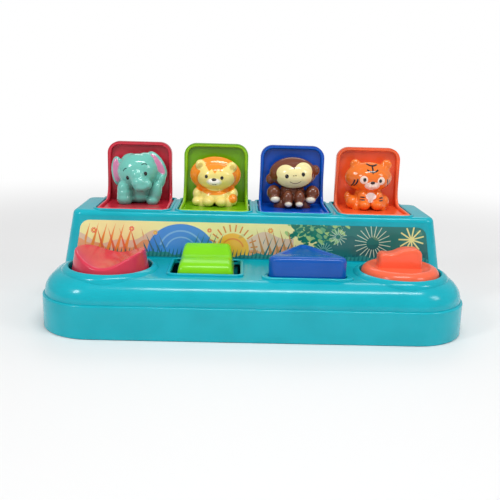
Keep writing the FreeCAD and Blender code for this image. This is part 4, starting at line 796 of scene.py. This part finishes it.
def button_ring(grow, rounding, z, shrink=1.0):
    """Add a rounded triangle, drawn in towards the rear corner by shrink.

    The rings start far apart, so that they bridge straight, and go to their heights afterwards.
    """
    corners = [tip + (Vector(corner) - tip) * shrink for corner in button_corners(grow)]
    line = []
    for number, corner in enumerate(corners):
        near, far = (corners[number - 1] - corner).normalized(), (corners[(number + 1) % 3] - corner).normalized()
        half = near.angle(far) / 2
        middle = corner + (near + far).normalized() * (rounding / math.sin(half))
        start = corner + near * (rounding / math.tan(half)) - middle
        for step in range(ARC_STEPS + 1):
            spoke = Matrix.Rotation((math.pi - 2 * half) * step / ARC_STEPS, 2) @ start
            line.append(bm.verts.new(((middle.x + spoke.x) * MM, (middle.y + spoke.y) * MM, len(rings) * 0.1)))
    rings.append((line, [bm.edges.new((line[number - 1], line[number])) for number in range(len(line))], z))


for z in (43.4, 50, WALL_TOP):
    button_ring(0, EDGE_ROUND, z)
# the rolled edge round the top
for step in range(1, EDGE_STEPS + 1):
    way = math.pi / 2 * step / EDGE_STEPS
    drawn_in = EDGE_HIGH * (1 - math.cos(way))
    button_ring(-drawn_in, EDGE_ROUND - drawn_in, WALL_TOP + EDGE_HIGH * math.sin(way))
# the dish
for grow, rounding, z in ((-5.6, 3.0, 62), (-6.2, 2.8, 61.9), (-6.9, 2.5, 61.3), (-7.5, 2.2, 60.7),
                          (-8.2, 2.0, 60.45), (-9.6, 1.8, 60.4)):
    button_ring(grow, rounding, z, 0.89)
for (_, lower, _), (_, upper, _) in zip(rings, rings[1:]):
    bmesh.ops.bridge_loops(bm, edges=lower + upper)
for line in (rings[0][0], rings[-1][0]):
    bm.faces.new(line)
for line, _, z in rings:
    for vert in line:
        vert.co.z = z * MM
bmesh.ops.recalc_face_normals(bm, faces=bm.faces)
hidden_foot(bm, "push_button")
soft_shaded(bm, 50)
moulding(bm, "push_button_shell", deep_blue, "button", ["push_button"])


# ---- twist knob ---------------------------------------------------------------------------------------------
# A coral disc with a rolled edge, and in one with it a grip whose top runs in a wave.
coral = plastic("knob_coral_plastic", ink(250, 106, 70), 0.2)
bm = bmesh.new()
turned(bm, KNOB_X, ROUND_Y, [(radius * 2.4, 51.2) for radius in range(9)] + [(21.4, 51.3), (23.2, 51.5)]
       + quarter((24.6, 45.2), 6.8, 92, 8, 12) + [(31.4, 44.6), (31.4, 43.2), (0, 43.2)])
disc = bpy.data.meshes.new("knob_disc")
bm.to_mesh(disc)
bm.free()
bm = bmesh.new()
GRIP_FRONT, GRIP_THICK = -38.5, 14.6
rounded_face(bm, [(KNOB_X + x, GRIP_FRONT, z) for x, z in ((-18.8, 46), (-18.8, 63), (-7.5, 62.2), (0.5, 66.8),
                                                            (15.6, 66.8), (16.6, 46))], (0, 4.5, 4, 4.5, 5.5, 0), 7)
moved_copy(bm, (0, GRIP_THICK, 0))
ends = [edge for edge in bm.edges if abs(edge.verts[0].co.y - edge.verts[1].co.y) < 1e-6]
bmesh.ops.bevel(bm, geom=ends, offset=2.8 * MM, affect="EDGES", segments=6, profile=0.5, material=-1)
bm.from_mesh(disc)
hidden_foot(bm, "twist_knob")
soft_shaded(bm, 50)
moulding(bm, "twist_knob_shell", coral, "knob", ["twist_knob"])


# ---- works and fasteners ------------------------------------------------------------------------------------
# Plated steel screws, axle and rod, spring wire, and natural white levers inside the case.
steel = Finish("plated_steel", (0.62, 0.63, 0.65), 0.28, Metallic=1)
steel.feed("Roughness", steel.noise(900, 3) * 0.2 + 0.2)
natural = plastic("natural_white_plastic", (0.72, 0.72, 0.69), 0.45, 0.02, 0.0)
inside = {"inner_plastic": natural, "steel": steel, "spring_steel": steel}
for entry in frame["record"]["subparts"]:
    if entry["material_slot"] in inside:
        mesh = frame["nodes"][entry["node"]].data
        mesh.materials.clear()
        mesh.materials.append(inside[entry["material_slot"]].material)
